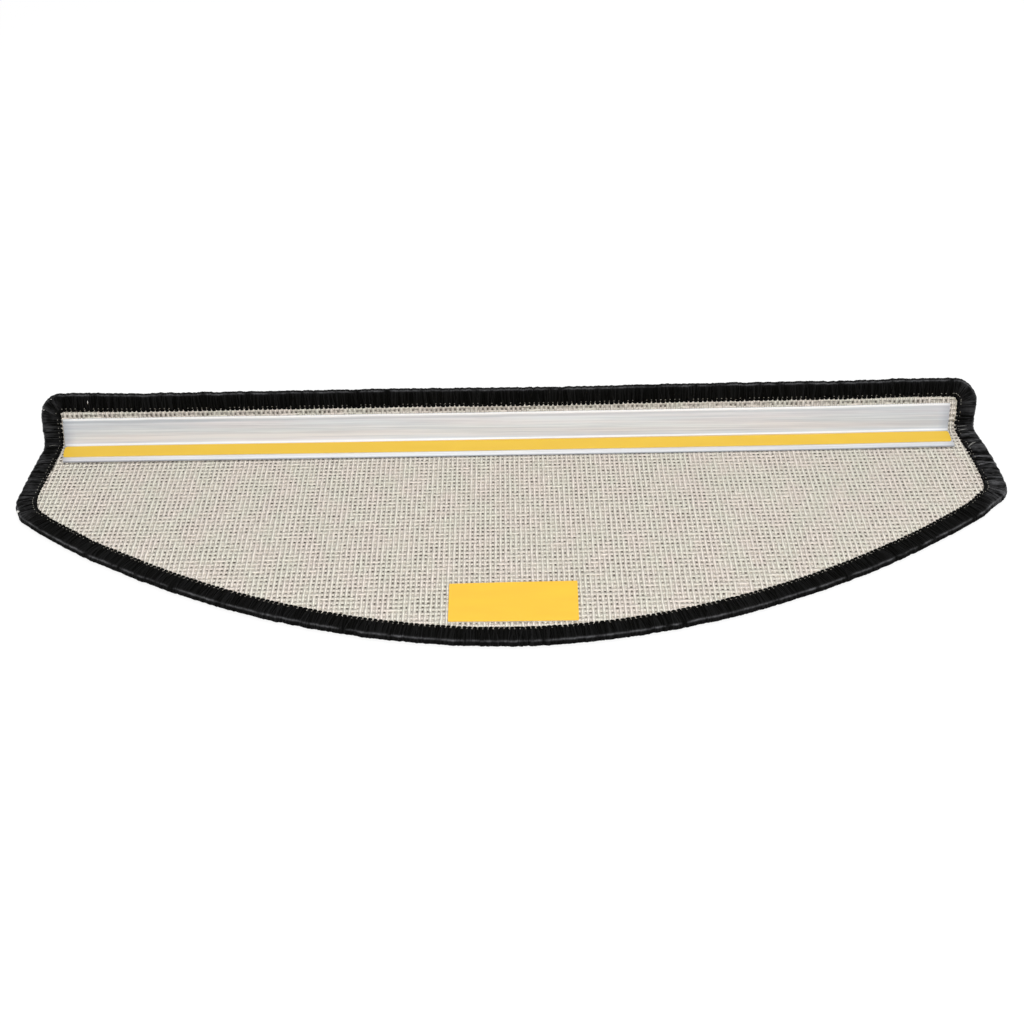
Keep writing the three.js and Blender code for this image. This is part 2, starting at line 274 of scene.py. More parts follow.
@dataclass(frozen=True)
class MatPattern:
    """The flat cutting pattern of the mat and the bend at the stair's edge, in metres and radians."""

    width: float = 0.650
    tread_depth: float = 0.210
    lip_height: float = 0.040
    shoulder_radius: float = 0.028
    lip_corner_radius: float = 0.016
    front_end_angle: float = math.radians(37.5)
    tread_side_angle: float = math.radians(3.2)
    lip_side_angle: float = math.radians(1.0)
    lip_lean: float = math.radians(15.0)
    fold_radius: float = 0.005
    thickness: float = 0.0055
    edge_step: float = 0.0025

    @property
    def fold_angle(self) -> float:
        """How far the lip turns up from the tread."""
        return math.pi / 2 - self.lip_lean

    @property
    def outer_radius(self) -> float:
        """The bend's radius on the pile side."""
        return self.fold_radius + self.thickness

    @property
    def neutral_radius(self) -> float:
        """The bend's radius where the sheet keeps its length."""
        return self.fold_radius + self.thickness / 2

    @property
    def fold_tangent(self) -> float:
        """From the bend's start to the corner that the pile sides would make."""
        return self.outer_radius * math.tan(self.fold_angle / 2)

    @property
    def fold_start(self) -> float:
        """Where the bend starts, from the nose."""
        return self.tread_depth - self.fold_tangent

    @property
    def fold_end(self) -> float:
        """Where the bend ends, from the nose."""
        return self.fold_start + self.neutral_radius * self.fold_angle

    @property
    def fold_middle(self) -> float:
        """The middle of the bend, from the nose."""
        return (self.fold_start + self.fold_end) / 2

    @property
    def free_edge(self) -> float:
        """The lip's free edge, from the nose."""
        return self.fold_end + self.lip_height - self.fold_tangent

    @property
    def front_end_x(self) -> float:
        """Where the curved edge meets the right shoulder's arc, from the middle."""
        return self.width / 2 - self.shoulder_radius * (1 - math.sin(self.front_end_angle))

    @property
    def shoulder_centre(self) -> Vector:
        """Finds the middle of the right shoulder's arc.

        Returns:
            The middle.
        """
        end_y = self.front_end_x * math.tan(self.front_end_angle) / 2
        up = self.shoulder_radius * math.cos(self.front_end_angle)
        return Vector((self.width / 2 - self.shoulder_radius, end_y + up))

    def _line(self, start: Vector, end: Vector) -> list[EdgePoint]:
        """Gives the points of a straight stretch that runs counter-clockwise.

        Args:
            start: Its first point.
            end: The point after its last.

        Returns:
            The points.
        """
        along = end - start
        out = Vector((along.y, -along.x)).normalized()
        steps = max(1, round(along.length / self.edge_step))
        return [EdgePoint(start + along * step / steps, out) for step in range(steps)]

    def _arc(self, centre: Vector, radius: float, begin: float, end: float) -> list[EdgePoint]:
        """Gives the points of a round stretch that runs counter-clockwise.

        Args:
            centre: The arc's middle.
            radius: Its radius.
            begin: The angle of its first point.
            end: The angle of the point after its last.

        Returns:
            The points.
        """
        steps = max(6, round(radius * abs(end - begin) / self.edge_step))
        turns = (begin + (end - begin) * step / steps for step in range(steps))
        outs = [Vector((math.cos(turn), math.sin(turn))) for turn in turns]
        return [EdgePoint(centre + out * radius, out) for out in outs]

    def _front(self) -> list[EdgePoint]:
        """Gives the right half of the curved edge, a parabola from the nose to the shoulder.

        Returns:
            The points.
        """
        steps = round(self.front_end_x / self.edge_step)
        points = []
        for step in range(steps):
            x = self.front_end_x * step / steps
            slope = math.tan(self.front_end_angle) * step / steps
            points.append(EdgePoint(Vector((x, x * slope / 2)), Vector((slope, -1)).normalized()))
        return points

    def _right_half(self) -> list[EdgePoint]:
        """Gives the outline from the nose to the middle of the lip's free edge.

        Returns:
            The points.
        """
        centre, radius = self.shoulder_centre, self.shoulder_radius
        side_turn = Vector((math.cos(self.tread_side_angle), math.sin(self.tread_side_angle)))
        side = centre + side_turn * radius
        fold_x = side.x - (self.fold_middle - side.y) * math.tan(self.tread_side_angle)
        fold = Vector((fold_x, self.fold_middle))
        corner_y = self.free_edge - self.lip_corner_radius
        lip_x = fold_x - (corner_y - self.fold_middle) * math.tan(self.lip_side_angle)
        corner = Vector((lip_x - self.lip_corner_radius / math.cos(self.lip_side_angle), corner_y))
        lip_turn = Vector((math.cos(self.lip_side_angle), math.sin(self.lip_side_angle)))
        return [
            *self._front(),
            *self._arc(centre, radius, self.front_end_angle - math.pi / 2, self.tread_side_angle),
            *self._line(side, fold),
            *self._line(fold, corner + lip_turn * self.lip_corner_radius),
            *self._arc(corner, self.lip_corner_radius, self.lip_side_angle, math.pi / 2),
            *self._line(Vector((corner.x, self.free_edge)), Vector((0, self.free_edge))),
            EdgePoint(Vector((0, self.free_edge)), Vector((0, 1))),
        ]

    def outline(self) -> list[EdgePoint]:
        """Gives the whole outline, counter-clockwise seen from the backing, from the nose.

        Returns:
            The points.
        """
        right = self._right_half()
        mirror = Vector((-1, 1))
        return right + [EdgePoint(p.at * mirror, p.out * mirror) for p in reversed(right[1:-1])]

    def loop(self, inset: float) -> list[Vector]:
        """Gives the outline moved inwards."""
        return [point.at - point.out * inset for point in self.outline()]

    @property
    def area(self) -> float:
        """The pattern's flat area."""
        loop = self.loop(0)
        return sum(a.x * b.y - b.x * a.y for a, b in zip(loop, [*loop[1:], loop[0]])) / 2


def mesh_of(name: str, points: Iterable[Sequence[float]] = (), faces: Iterable[Sequence[int]] = (),
            edges: Iterable[Sequence[int]] = ()) -> bpy.types.Mesh:
    """Makes a mesh from plain lists.

    Args:
        name: The mesh's name.
        points: Its points.
        faces: The point numbers of each face, counter-clockwise from outside.
        edges: The point numbers of each loose edge.

    Returns:
        The mesh.
    """
    mesh = bpy.data.meshes.new(name)
    mesh.from_pydata(list(points), list(edges), list(faces))
    mesh.validate()
    return mesh


def keep_values(mesh: bpy.types.Mesh, name: str, values: Sequence[float]) -> None:
    """Stores a value for each point of a mesh under a name."""
    mesh.attributes.new(name, "FLOAT", "POINT").data.foreach_set("value", values)


def object_of(name: str, data: bpy.types.ID) -> bpy.types.Object:
    """Puts a mesh, a lamp or a camera in the scene as an object at the origin.

    Args:
        name: The object's name.
        data: The mesh, the lamp or the camera.

    Returns:
        The object.
    """
    piece = bpy.data.objects.new(name, data)
    bpy.context.scene.collection.objects.link(piece)
    return piece


def plate_of(loop: Sequence[Vector]) -> bpy.types.Object:
    """Makes the flat plate inside a loop, which threads and pile are trimmed to."""
    mesh = mesh_of("trim_plate", [(p.x, p.y, 0) for p in loop], [tuple(range(len(loop)))])
    return object_of("trim_plate", mesh)


def seat(piece: bpy.types.Object, node: str = "") -> bpy.types.Object:
    """Lets a piece ride on the mat's body and hides the frame's node that it replaces.

    Args:
        piece: The finished piece.
        node: The frame's node that it replaces, if any.

    Returns:
        The piece.
    """
    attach(piece, BODY)
    if node:
        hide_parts(node)
    return piece


def swept(rings: Sequence[Sequence[Sequence[float]]], closed: bool = False) -> tuple[list, list]:
    """Joins rings of points into a skin.

    Args:
        rings: Rings of equal length. Each ring is a closed section.
        closed: Whether the last ring joins the first. Otherwise the two ends are capped.

    Returns:
        The points and the faces.
    """
    count, size = len(rings), len(rings[0])
    points = [point for ring in rings for point in ring]
    faces = []
    for ring in range(count if closed else count - 1):
        near, far = ring * size, (ring + 1) % count * size
        for index in range(size):
            after = (index + 1) % size
            faces.append((near + index, near + after, far + after, far + index))
    if not closed:
        faces.append(tuple(reversed(range(size))))
        faces.append(tuple(range((count - 1) * size, count * size)))
    return points, faces


def span_at(y: float, loop: Sequence[Vector]) -> tuple[float, float]:
    """Measures a loop along x.

    Args:
        y: Where it is measured.
        loop: The loop.

    Returns:
        The lowest and the highest x of the loop at that y.
    """
    crossings = []
    for near, far in zip(loop, [*loop[1:], loop[0]]):
        if (near.y - y) * (far.y - y) < 0:
            crossings.append(near.x + (far.x - near.x) * (y - near.y) / (far.y - near.y))
    return min(crossings), max(crossings)


def sheet_mesh(name: str, loop: Sequence[Vector], rows: Sequence[float], columns: int,
               bottom: float, top: float,
               lift: Callable[[float, float], float] = lambda x, y: 0.0) -> bpy.types.Mesh:
    """Makes a closed sheet that fills a loop.

    Args:
        name: The mesh's name.
        loop: The sheet's outline, counter-clockwise.
        rows: The y of each row of points, all inside the loop.
        columns: How many faces each row has.
        bottom: The height of its underside.
        top: The height of its top.
        lift: How far both sides are raised at one x and y.

    Returns:
        The mesh.
    """
    rings = []
    for y in rows:
        left, right = span_at(y, loop)
        spots = [(left + (right - left) * k / columns, y) for k in range(columns + 1)]
        upper, lower = ([(x, y, z + lift(x, y)) for x, y in spots] for z in (top, bottom))
        rings.append([*upper, *reversed(lower)])
    return mesh_of(name, *swept(rings))


def rounded(corners: Sequence[tuple[Vector, float]], steps: int = 4) -> list[Vector]:
    """Rounds the corners of a polygon.

    Args:
        corners: The place and the radius of each corner.
        steps: How many straight pieces make up each round corner.

    Returns:
        The outline's points, in the same order.
    """
    points = []
    places = [place for place, _ in corners]
    for index, (place, radius) in enumerate(corners):
        back = (places[index - 1] - place).normalized()
        ahead = (places[(index + 1) % len(places)] - place).normalized()
        half = back.angle(ahead) / 2
        centre = place + (back + ahead).normalized() * (radius / math.sin(half))
        first, last = (place + way * (radius / math.tan(half)) - centre for way in (back, ahead))
        turn = first.angle_signed(last)
        for step in range(steps + 1):
            spot = first.copy()
            spot.rotate(Matrix.Rotation(-turn * step / steps, 2))
            points.append(centre + spot)
    return points


class Growth(Bench):
    """A Geometry Nodes tree in the making, with named inputs for its sizes."""

    def __init__(self, name: str) -> None:
        """Starts a tree that takes and gives geometry.

        Args:
            name: The name of the tree and of the piece that it grows.
        """
        super().__init__(bpy.data.node_groups.new(name, "GeometryNodeTree"))
        for way in ("INPUT", "OUTPUT"):
            self.tree.interface.new_socket("Geometry", in_out=way, socket_type="NodeSocketGeometry")
        self.entry = self.node("NodeGroupInput")
        self.name = name
        self.sizes: dict[str, Size] = {}

    @property
    def geometry(self) -> Signal:
        """The geometry that goes in."""
        return self.entry["Geometry"]

    def inputs(self, **sizes: Size) -> list[Signal]:
        """Adds named inputs, such as "Wrap Pitch" for wrap_pitch.

        Args:
            **sizes: Lengths, angles, whole numbers and objects.

        Returns:
            The inputs' signals, in the same order.
        """
        kinds = {float: "NodeSocketFloat", int: "NodeSocketInt"}
        self.sizes = {name.replace("_", " ").title(): value for name, value in sizes.items()}
        for name, value in self.sizes.items():
            kind = kinds.get(type(value), "NodeSocketObject")
            self.tree.interface.new_socket(name, in_out="INPUT", socket_type=kind)
        return [self.entry[name] for name in self.sizes]

    def place(self) -> list[Signal]:
        """Gives the x, y and z of each point."""
        return self.parted(self.node("GeometryNodeInputPosition")["Position"])

    def moved(self, geometry: Signal, offset: Signal) -> Signal:
        """Moves each point by an offset."""
        feeds = {"Geometry": geometry, "Offset": offset}
        return self.node("GeometryNodeSetPosition", feeds=feeds)["Geometry"]

    def random(self, low: float, high: float, seed: int) -> Signal:
        """Gives each point or copy a value of its own, from a fixed seed."""
        feeds = {"Min": low, "Max": high, "Seed": seed}
        return self.node("FunctionNodeRandomValue", {"data_type": "FLOAT"}, feeds)["Value"]

    def kept(self, geometry: Signal, name: str, value: Signal, domain: str = "POINT") -> Signal:
        """Stores a value on the geometry under a name.

        Args:
            geometry: The geometry.
            name: The attribute's name.
            value: Its value.
            domain: What it is stored on.

        Returns:
            The geometry with the attribute.
        """
        settings = {"data_type": "FLOAT", "domain": domain}
        feeds = {"Geometry": geometry, "Name": name, "Value": value}
        return self.node("GeometryNodeStoreNamedAttribute", settings, feeds)["Geometry"]

    def read(self, name: str) -> Signal:
        """Reads a value that is stored under a name."""
        settings = {"data_type": "FLOAT"}
        return self.node("GeometryNodeInputNamedAttribute", settings, {"Name": name})["Attribute"]

    def turned(self, x: Feed, y: Feed, z: Feed) -> Signal:
        """Makes a rotation of three angles."""
        feeds = {"Euler": self.joined(x, y, z)}
        return self.node("FunctionNodeEulerToRotation", feeds=feeds)["Rotation"]

    def shape_of(self, item: Signal, whole: bool = False) -> Signal:
        """Gives an object's geometry, whole for one copy that can be repeated."""
        feeds = {"Object": item, "As Instance": whole}
        return self.node("GeometryNodeObjectInfo", feeds=feeds)["Geometry"]

    def ball(self, subdivisions: int) -> Signal:
        """Makes a ball that is 1 metre across, for scaling down."""
        feeds = {"Radius": 0.5, "Subdivisions": subdivisions}
        return self.node("GeometryNodeMeshIcoSphere", feeds=feeds)["Mesh"]

    def grid(self, counts: Sequence[Signal], pitches: Sequence[Signal]) -> Signal:
        """Makes a flat grid about the origin.

        Args:
            counts: How many points it has along x and along y.
            pitches: The distance between them along x and along y.

        Returns:
            The grid.
        """
        feeds = {}
        for axis, count, pitch in zip("XY", counts, pitches):
            feeds |= {f"Size {axis}": (count - 1) * pitch, f"Vertices {axis}": count}
        return self.node("GeometryNodeMeshGrid", feeds=feeds)["Mesh"]

    def on_plate(self, geometry: Signal, middle: Signal, plate: Signal) -> Signal:
        """Moves flat points to the pattern's middle and deletes those that don't lie over a plate.

        Args:
            geometry: Points about the origin, at z = 0.
            middle: How far they are moved along y.
            plate: The plate, at z = 0.

        Returns:
            What is left of the geometry.
        """
        centred = self.moved(geometry, self.joined(0.0, middle, 0.0))
        x, y, z = self.place()
        feeds = {
            "Target Geometry": self.shape_of(plate), "Source Position": self.joined(x, y, z + 1.0),
            "Ray Direction": (0, 0, -1), "Ray Length": 2.0}
        hit = self.node("GeometryNodeRaycast", feeds=feeds)["Is Hit"]
        missed = self.node("FunctionNodeBooleanMath", {"operation": "NOT"}, {"Boolean": hit})["Boolean"]
        feeds = {"Geometry": centred, "Selection": missed}
        return self.node("GeometryNodeDeleteGeometry", {"domain": "POINT"}, feeds)["Geometry"]

    def repeated(self, item: Signal, points: Signal, rotation: Signal, scale: Signal,
                 marks: dict[str, Signal], chosen: Feed = True) -> Signal:
        """Sets a copy of an item at each point.

        Args:
            item: What is repeated.
            points: Where the copies go.
            rotation: How each copy is turned.
            scale: How each copy is scaled along its own axes.
            marks: The values that each copy keeps, by name.
            chosen: Which points get a copy.

        Returns:
            The copies, as real geometry.
        """
        feeds = {
            "Points": points, "Instance": item, "Rotation": rotation, "Scale": scale,
            "Selection": chosen}
        copies = self.node("GeometryNodeInstanceOnPoints", feeds=feeds)["Instances"]
        for name, value in marks.items():
            copies = self.kept(copies, name, value, "INSTANCE")
        return self.node("GeometryNodeRealizeInstances", feeds={"Geometry": copies})["Geometry"]

    def grow(self, geometry: Signal, material: bpy.types.Material,
             mesh: bpy.types.Mesh | None = None) -> bpy.types.Object:
        """Ends the tree, runs it on a mesh and keeps the result as a plain mesh.

        Args:
            geometry: What the tree made.
            material: The material of all of it.
            mesh: The geometry that goes in, if any.

        Returns:
            The finished piece, at the origin, which has the tree's name.
        """
        for kind in ("GeometryNodeRealizeInstances", "GeometryNodeSetShadeSmooth"):
            geometry = self.node(kind, feeds={"Geometry": geometry})["Geometry"]
        feeds = {"Geometry": geometry, "Material": material}
        dressed = self.node("GeometryNodeSetMaterial", feeds=feeds)["Geometry"]
        self.node("NodeGroupOutput", feeds={"Geometry": dressed})
        source = object_of(f"{self.name}_source", mesh or mesh_of(self.name))
        modifier = source.modifiers.new("growth", "NODES")
        modifier.node_group = self.tree
        for item in self.tree.interface.items_tree:
            if item.in_out == "INPUT" and item.name in self.sizes:
                modifier[item.identifier] = self.sizes[item.name]
        graph = bpy.context.evaluated_depsgraph_get()
        finished = bpy.data.meshes.new_from_object(source.evaluated_get(graph), depsgraph=graph)
        finished.name = self.name
        bpy.data.objects.remove(source)
        return object_of(self.name, finished)


class FoldGroup(Growth):
    """The node group that carries a point of the flat pattern to its place on the folded mat."""

    def __init__(self, pattern: MatPattern, shift: float) -> None:
        """Adds the bend's sums and moves each point by them.

        Args:
            pattern: The pattern and its bend.
            shift: From the nose to the mat's own origin, along y.
        """
        super().__init__("fold_over_stair_edge")
        start, end, angle, outer, neutral, origin = self.inputs(
            fold_start=pattern.fold_start, fold_end=pattern.fold_end, fold_angle=pattern.fold_angle,
            outer_radius=pattern.outer_radius, neutral_radius=pattern.neutral_radius,
            origin_shift=shift)
        x, y, z = self.place()
        turn = ((y - start) / neutral).at_least(0.0).at_most(angle)
        beyond = (y - end).at_least(0.0)
        radius = outer - z
        depth = y.at_most(start) + radius * turn.sine() + beyond * turn.cosine() + origin
        height = outer - radius * turn.cosine() + beyond * turn.sine()
        raised = self.kept(self.geometry, "height", z / pattern.thickness)
        feeds = {"Geometry": raised, "Position": self.joined(x, depth, height)}
        placed = self.node("GeometryNodeSetPosition", feeds=feeds)["Geometry"]
        self.node("NodeGroupOutput", feeds={"Geometry": placed})

    def grow_folded(self, growth: Growth, flat: Signal, material: bpy.types.Material,
                    mesh: bpy.types.Mesh | None = None) -> bpy.types.Object:
        """Folds what another tree made, and runs that tree.

        Args:
            growth: The other tree.
            flat: The flat geometry that it made.
            material: The material of all of it.
            mesh: The geometry that goes into the other tree, if any.

        Returns:
            The finished piece.
        """
        feeds = {"Geometry": flat, **self.sizes}
        folded = growth.node("GeometryNodeGroup", {"node_tree": self.tree}, feeds)["Geometry"]
        return growth.grow(folded, material, mesh)

    def folded(self, name: str, mesh: bpy.types.Mesh, material: bpy.types.Material) -> bpy.types.Object:
        """Folds a mesh that was drawn flat."""
        growth = Growth(name)
        return self.grow_folded(growth, growth.geometry, material, mesh)


class Paint(Bench):
    """The bench of one material, with the reads that its patterns start from."""

    def __init__(self, name: str) -> None:
        """Starts a material.

        Args:
            name: The material's name.
        """
        self.material = bpy.data.materials.new(name)
        self.material.use_nodes = True
        super().__init__(self.material.node_tree)
        self.shader = self.tree.nodes["Principled BSDF"]

    def place(self) -> list[Signal]:
        """Gives the x, y and z of the point in its piece."""
        return self.parted(self.node("ShaderNodeTexCoord")["Object"])

    def read(self, name: str) -> Signal:
        """Reads a value that the piece keeps under a name."""
        return self.node("ShaderNodeAttribute", {"attribute_name": name})["Fac"]

    def bump(self, height: Signal, strength: float, distance: float) -> Signal:
        """Turns a height into a normal."""
        feeds = {"Strength": strength, "Distance": distance, "Height": height}
        return self.node("ShaderNodeBump", feeds=feeds)["Normal"]

    def dressed(self, feeds: dict[str, Feed]) -> bpy.types.Material:
        """Feeds the shader's inputs by name.

        Args:
            feeds: The value or signal of each input that isn't left alone.

        Returns:
            The material.
        """
        for name, value in feeds.items():
            self.feed(self.shader.inputs[name], value)
        return self.material


@dataclass(frozen=True)
class PaleStrip:
    """The paler strip of backing along the curved edge, as a parabola in the mat's own frame."""

    curve: float = 1.21
    nose: float = -0.097
    reach: float = 0.014
    strength: float = 0.4

    def share(self, x: Signal, y: Signal) -> Signal:
        """Gives the strength at the curved edge, falling to 0 at the strip's end."""
        nearness = 1.0 - (y - x * x * self.curve - self.nose) / self.reach
        return nearness.limited() * self.strength


@dataclass(frozen=True)
class ThreadFinish:
    """Spun polypropylene threads of the backing, tinted in patches, painted in shade towards each
    thread's foot, and paler along the curved edge.
    """

    name: str
    colour: Colour
    # The colour of the painted shade at each thread's foot
    shade: Colour
    foot: float
    crest: float
    warm: Colour = linear(255, 247, 242)
    green: Colour = linear(248, 251, 240)
    fibres: Grain = Grain(5200.0, 700.0, 700.0, 3.0, 0.6)
    patches: Grain = Grain(62.0, 34.0, 0.0)
    patch_middle: float = 0.38
    patch_contrast: float = 4.0
    foot_shade_share: float = 0.75
    tone_share: float = 0.25
    fibre_share: float = 0.4
    tint_share: float = 0.62
    relief: float = 0.35
    relief_depth: float = 0.2 * MM
    sheen: float = 0.15
    sheen_roughness: float = 0.5
    roughness: float = 0.62
    dull_share: float = 0.2
    pale_strip: PaleStrip = PaleStrip()

    def material(self) -> bpy.types.Material:
        """Builds the material.

        Returns:
            The material.
        """
        paint = Paint(self.name)
        x, y, z = paint.place()
        fibres, patches = (paint.noise(grain, (x, y + z, z)) for grain in (self.fibres, self.patches))
        # Painted shade: each thread is painted darker towards its foot, where it sinks between its
        # neighbours, and in its full colour at its crest
        rise = ((paint.read("height") - self.foot) / (self.crest - self.foot)).limited()
        tint = paint.blend(patches.swing(self.patch_contrast, self.patch_middle), self.warm, self.green)
        share = (rise * self.foot_shade_share + paint.read("tone") * self.tone_share
                 + fibres.swing(self.fibre_share) + self.pale_strip.share(x, y))
        body = paint.blend(share.limited(), self.shade, self.colour)
        return paint.dressed({
            "Base Color": paint.blend(self.tint_share, body, tint, "MULTIPLY"),
            "Roughness": self.roughness + fibres * self.dull_share,
            "Normal": paint.bump(fibres, self.relief, self.relief_depth),
            "Sheen Weight": self.sheen, "Sheen Roughness": self.sheen_roughness})


@dataclass(frozen=True)
class GroundFinish:
    """The latexed cloth that shows as dark dots between the threads, and the pile's feet under it."""

    name: str
    dark: Colour
    light: Colour
    pile_side: Colour
    pile_height: float = 0.6
    holes: Grain = Grain(230.0, 230.0, 230.0, 1.0)
    areas: Grain = Grain(60.0, 60.0, 60.0)
    grain: Grain = Grain(2600.0, 2600.0, 2600.0, 3.0, 0.6)
    hole_contrast: float = 4.4
    area_contrast: float = 2.6
    grain_contrast: float = 0.6
    lightness: float = 0.42
    relief: float = 0.6
    relief_depth: float = 0.3 * MM
    roughness: float = 0.7
    dull_share: float = 0.2
    pale_strip: PaleStrip = PaleStrip()

    def material(self) -> bpy.types.Material:
        """Builds the material.

        Returns:
            The material.
        """
        paint = Paint(self.name)
        x, y, z = paint.place()
        holes, areas, grain = (
            paint.noise(grain, (x, y, z)) for grain in (self.holes, self.areas, self.grain))
        share = (holes.swing(self.hole_contrast) + areas.swing(self.area_contrast)
                 + grain.swing(self.grain_contrast) + self.lightness + self.pale_strip.share(x, y))
        latex = paint.blend(share.limited(), self.dark, self.light)
        backing_side = paint.read("height").above(self.pile_height)
        return paint.dressed({
            "Base Color": paint.blend(backing_side, self.pile_side, latex),
            "Roughness": self.roughness + grain * self.dull_share,
            "Normal": paint.bump(grain, self.relief, self.relief_depth)})


@dataclass(frozen=True)
class YarnFinish:
    """Satin filament yarn, with a tone for each wrap, fine filaments, a painted highlight on the shoulder
    of its turned edge and painted highlight streaks on its sides.
    """

    name: str
    dark: Colour
    light: Colour
    tone_share: float = 0.07
    roughness: float = 0.45
    specular: float = 0.02
    side_share: float = 0.82
    # Across the lanes of one wrap, from wrap to wrap and over its turned edge
    filaments: Grain = Grain(2.4, 97.0, 0.4, 3.0, 0.7)
    fuzz: Grain = Grain(3800.0, 3800.0, 3800.0, 3.0, 0.7)
    cloud: Grain = Grain(150.0, 150.0, 150.0, 3.0, 0.6)
    filament_share: float = 0.12
    fuzz_share: float = 0.16
    highlight_middle: float = 0.34
    highlight_contrast: float = 3.4
    bundle_middle: float = 0.42
    bundle_contrast: float = 3.6
    cloud_contrast: float = 2.2
    filament_contrast: float = 0.8
    dull_share: float = 0.25
    fuzz_relief: float = 0.5
    relief: float = 0.6
    relief_depth: float = 0.2 * MM

    def material(self) -> bpy.types.Material:
        """Builds the material.

        Returns:
            The material.
        """
        paint = Paint(self.name)
        place = paint.place()
        names = ("tone", "lane", "ridge", "side", "bundle")
        tone, lane, ridge, side, bundle = (paint.read(name) for name in names)
        filaments = paint.noise(self.filaments, (lane, tone, ridge))
        fuzz, cloud = paint.noise(self.fuzz, place), paint.noise(self.cloud, place)
        broken_highlight = cloud.swing(self.highlight_contrast, self.highlight_middle).at_least(0.0)
        side_glints = (bundle.swing(self.bundle_contrast, self.bundle_middle)
                   + cloud.swing(self.cloud_contrast) + filaments.swing(self.filament_contrast))
        # Painted highlights: on the shoulder of the turned edge, broken up by clouds, and in streaks on
        # the sides of the mat
        share = (tone * tone * self.tone_share + filaments.swing(self.filament_share)
                 + fuzz.swing(self.fuzz_share) + ridge * ridge * broken_highlight
                 + side * side_glints.at_least(0.0) * self.side_share)
        return paint.dressed({
            "Base Color": paint.blend(share.limited(), self.dark, self.light),
            "Roughness": self.roughness + fuzz * self.dull_share,
            "Normal": paint.bump(filaments + fuzz * self.fuzz_relief, self.relief, self.relief_depth),
            "Specular IOR Level": self.specular})


@dataclass(frozen=True)
class Band:
    """A painted stripe along the plastic, used both for painted highlights and for painted shade: where
    it is round the section, its half width and its strength.
    """

    middle: float
    half_width: float
    strength: float
    edge: float = 3.0

    def share(self, girth: Signal) -> Signal:
        """Gives how strong the band is at one distance round the section."""
        nearness = 1.0 - (girth - self.middle).size() / self.half_width
        return (nearness * self.edge).limited() * self.strength


@dataclass(frozen=True)
class PlasticFinish:
    """Milky extruded plastic, with die lines and faint tints, painted shade towards its ends, painted
    highlights along its top edge, inner fillet and the front of its tread leg, and painted shade under
    its top edge and along its front edge.
    """

    name: str
    light: Colour
    dark: Colour
    warm: Colour
    cool: Colour
    highlight_colour: Colour
    shade_colour: Colour
    highlight_bands: tuple[Band, ...]
    shade_bands: tuple[Band, ...]
    # Painted shade: the plastic is painted darker towards both ends, away from its palest x, by end_shade
    palest_x: float = -0.05
    end_shade: float = 1.2
    # The lines drift down the section by this share of their length
    drift: float = 0.01
    fine: Grain = Grain(11.0, 1000.0, 1000.0, 3.0, 0.65)
    broad: Grain = Grain(4.0, 260.0, 260.0)
    tints: Grain = Grain(9.0, 240.0, 240.0, 1.0)
    fine_share: float = 0.6
    darkest: float = 0.34
    lightest: float = 0.56
    tint_start: float = 1 / 3
    tint_middle: float = 0.35
    tint_contrast: float = 3.5
    tint_share: float = 0.6
    roughness: float = 0.32
    dull_share: float = 0.2
    relief: float = 0.3
    relief_depth: float = 0.2 * MM
    refraction: float = 1.49

    def material(self) -> bpy.types.Material:
        """Builds the material.

        Returns:
            The material.
        """
        paint = Paint(self.name)
        x, y, z = paint.place()
        girth = paint.read("girth")
        slant = z + x * self.drift
        fine, broad = (paint.noise(grain, (x, y, slant)) for grain in (self.fine, self.broad))
        tints = paint.noise(self.tints, (x + self.tint_start, y, slant))
        off_middle = x - self.palest_x
        mixed = (fine * self.fine_share + broad * (1.0 - self.fine_share)
                 - off_middle * off_middle * self.end_shade)
        stops = [(self.darkest, self.dark), (self.lightest, self.light), (1.0, self.light)]
        ramp = paint.node("ShaderNodeValToRGB", {"stops": stops}, {"Fac": mixed})["Color"]
        hue = tints.swing(self.tint_contrast, self.tint_middle).limited()
        tint = paint.blend(hue, self.warm, self.cool)
        colour = paint.blend(self.tint_share, ramp, tint, "MULTIPLY")
        # Painted highlights along the top edge, the inner fillet and the front of the tread leg, and
        # painted shade under the top edge and along the front edge
        for bands, edge in ((self.highlight_bands, self.highlight_colour), (self.shade_bands, self.shade_colour)):
            colour = paint.blend(sum(band.share(girth) for band in bands), colour, edge)
        return paint.dressed({
            "Base Color": colour, "Roughness": self.roughness + fine * self.dull_share,
            "Normal": paint.bump(fine, self.relief, self.relief_depth), "IOR": self.refraction})


@dataclass(frozen=True)
class FilmFinish:
    """Smooth coated film or foam tape, with slight clouds of tone and a fine grain."""

    name: str
    colour: Colour
    cloud: Colour
    roughness: float = 0.45
    clouds: Grain = Grain(30.0, 110.0, 30.0)
    grain: Grain = Grain(1800.0, 1800.0, 1800.0)
    cloud_middle: float = 0.35
    cloud_contrast: float = 2.0
    dull_share: float = 0.1
    relief: float = 0.08
    relief_depth: float = 0.1 * MM

    def material(self) -> bpy.types.Material:
        """Builds the material.

        Returns:
            The material.
        """
        paint = Paint(self.name)
        place = paint.place()
        clouds, grain = paint.noise(self.clouds, place), paint.noise(self.grain, place)
        share = clouds.swing(self.cloud_contrast, self.cloud_middle)
        return paint.dressed({
            "Base Color": paint.blend(share, self.cloud, self.colour),
            "Roughness": self.roughness + grain.swing(self.dull_share),
            "Normal": paint.bump(grain, self.relief, self.relief_depth)})
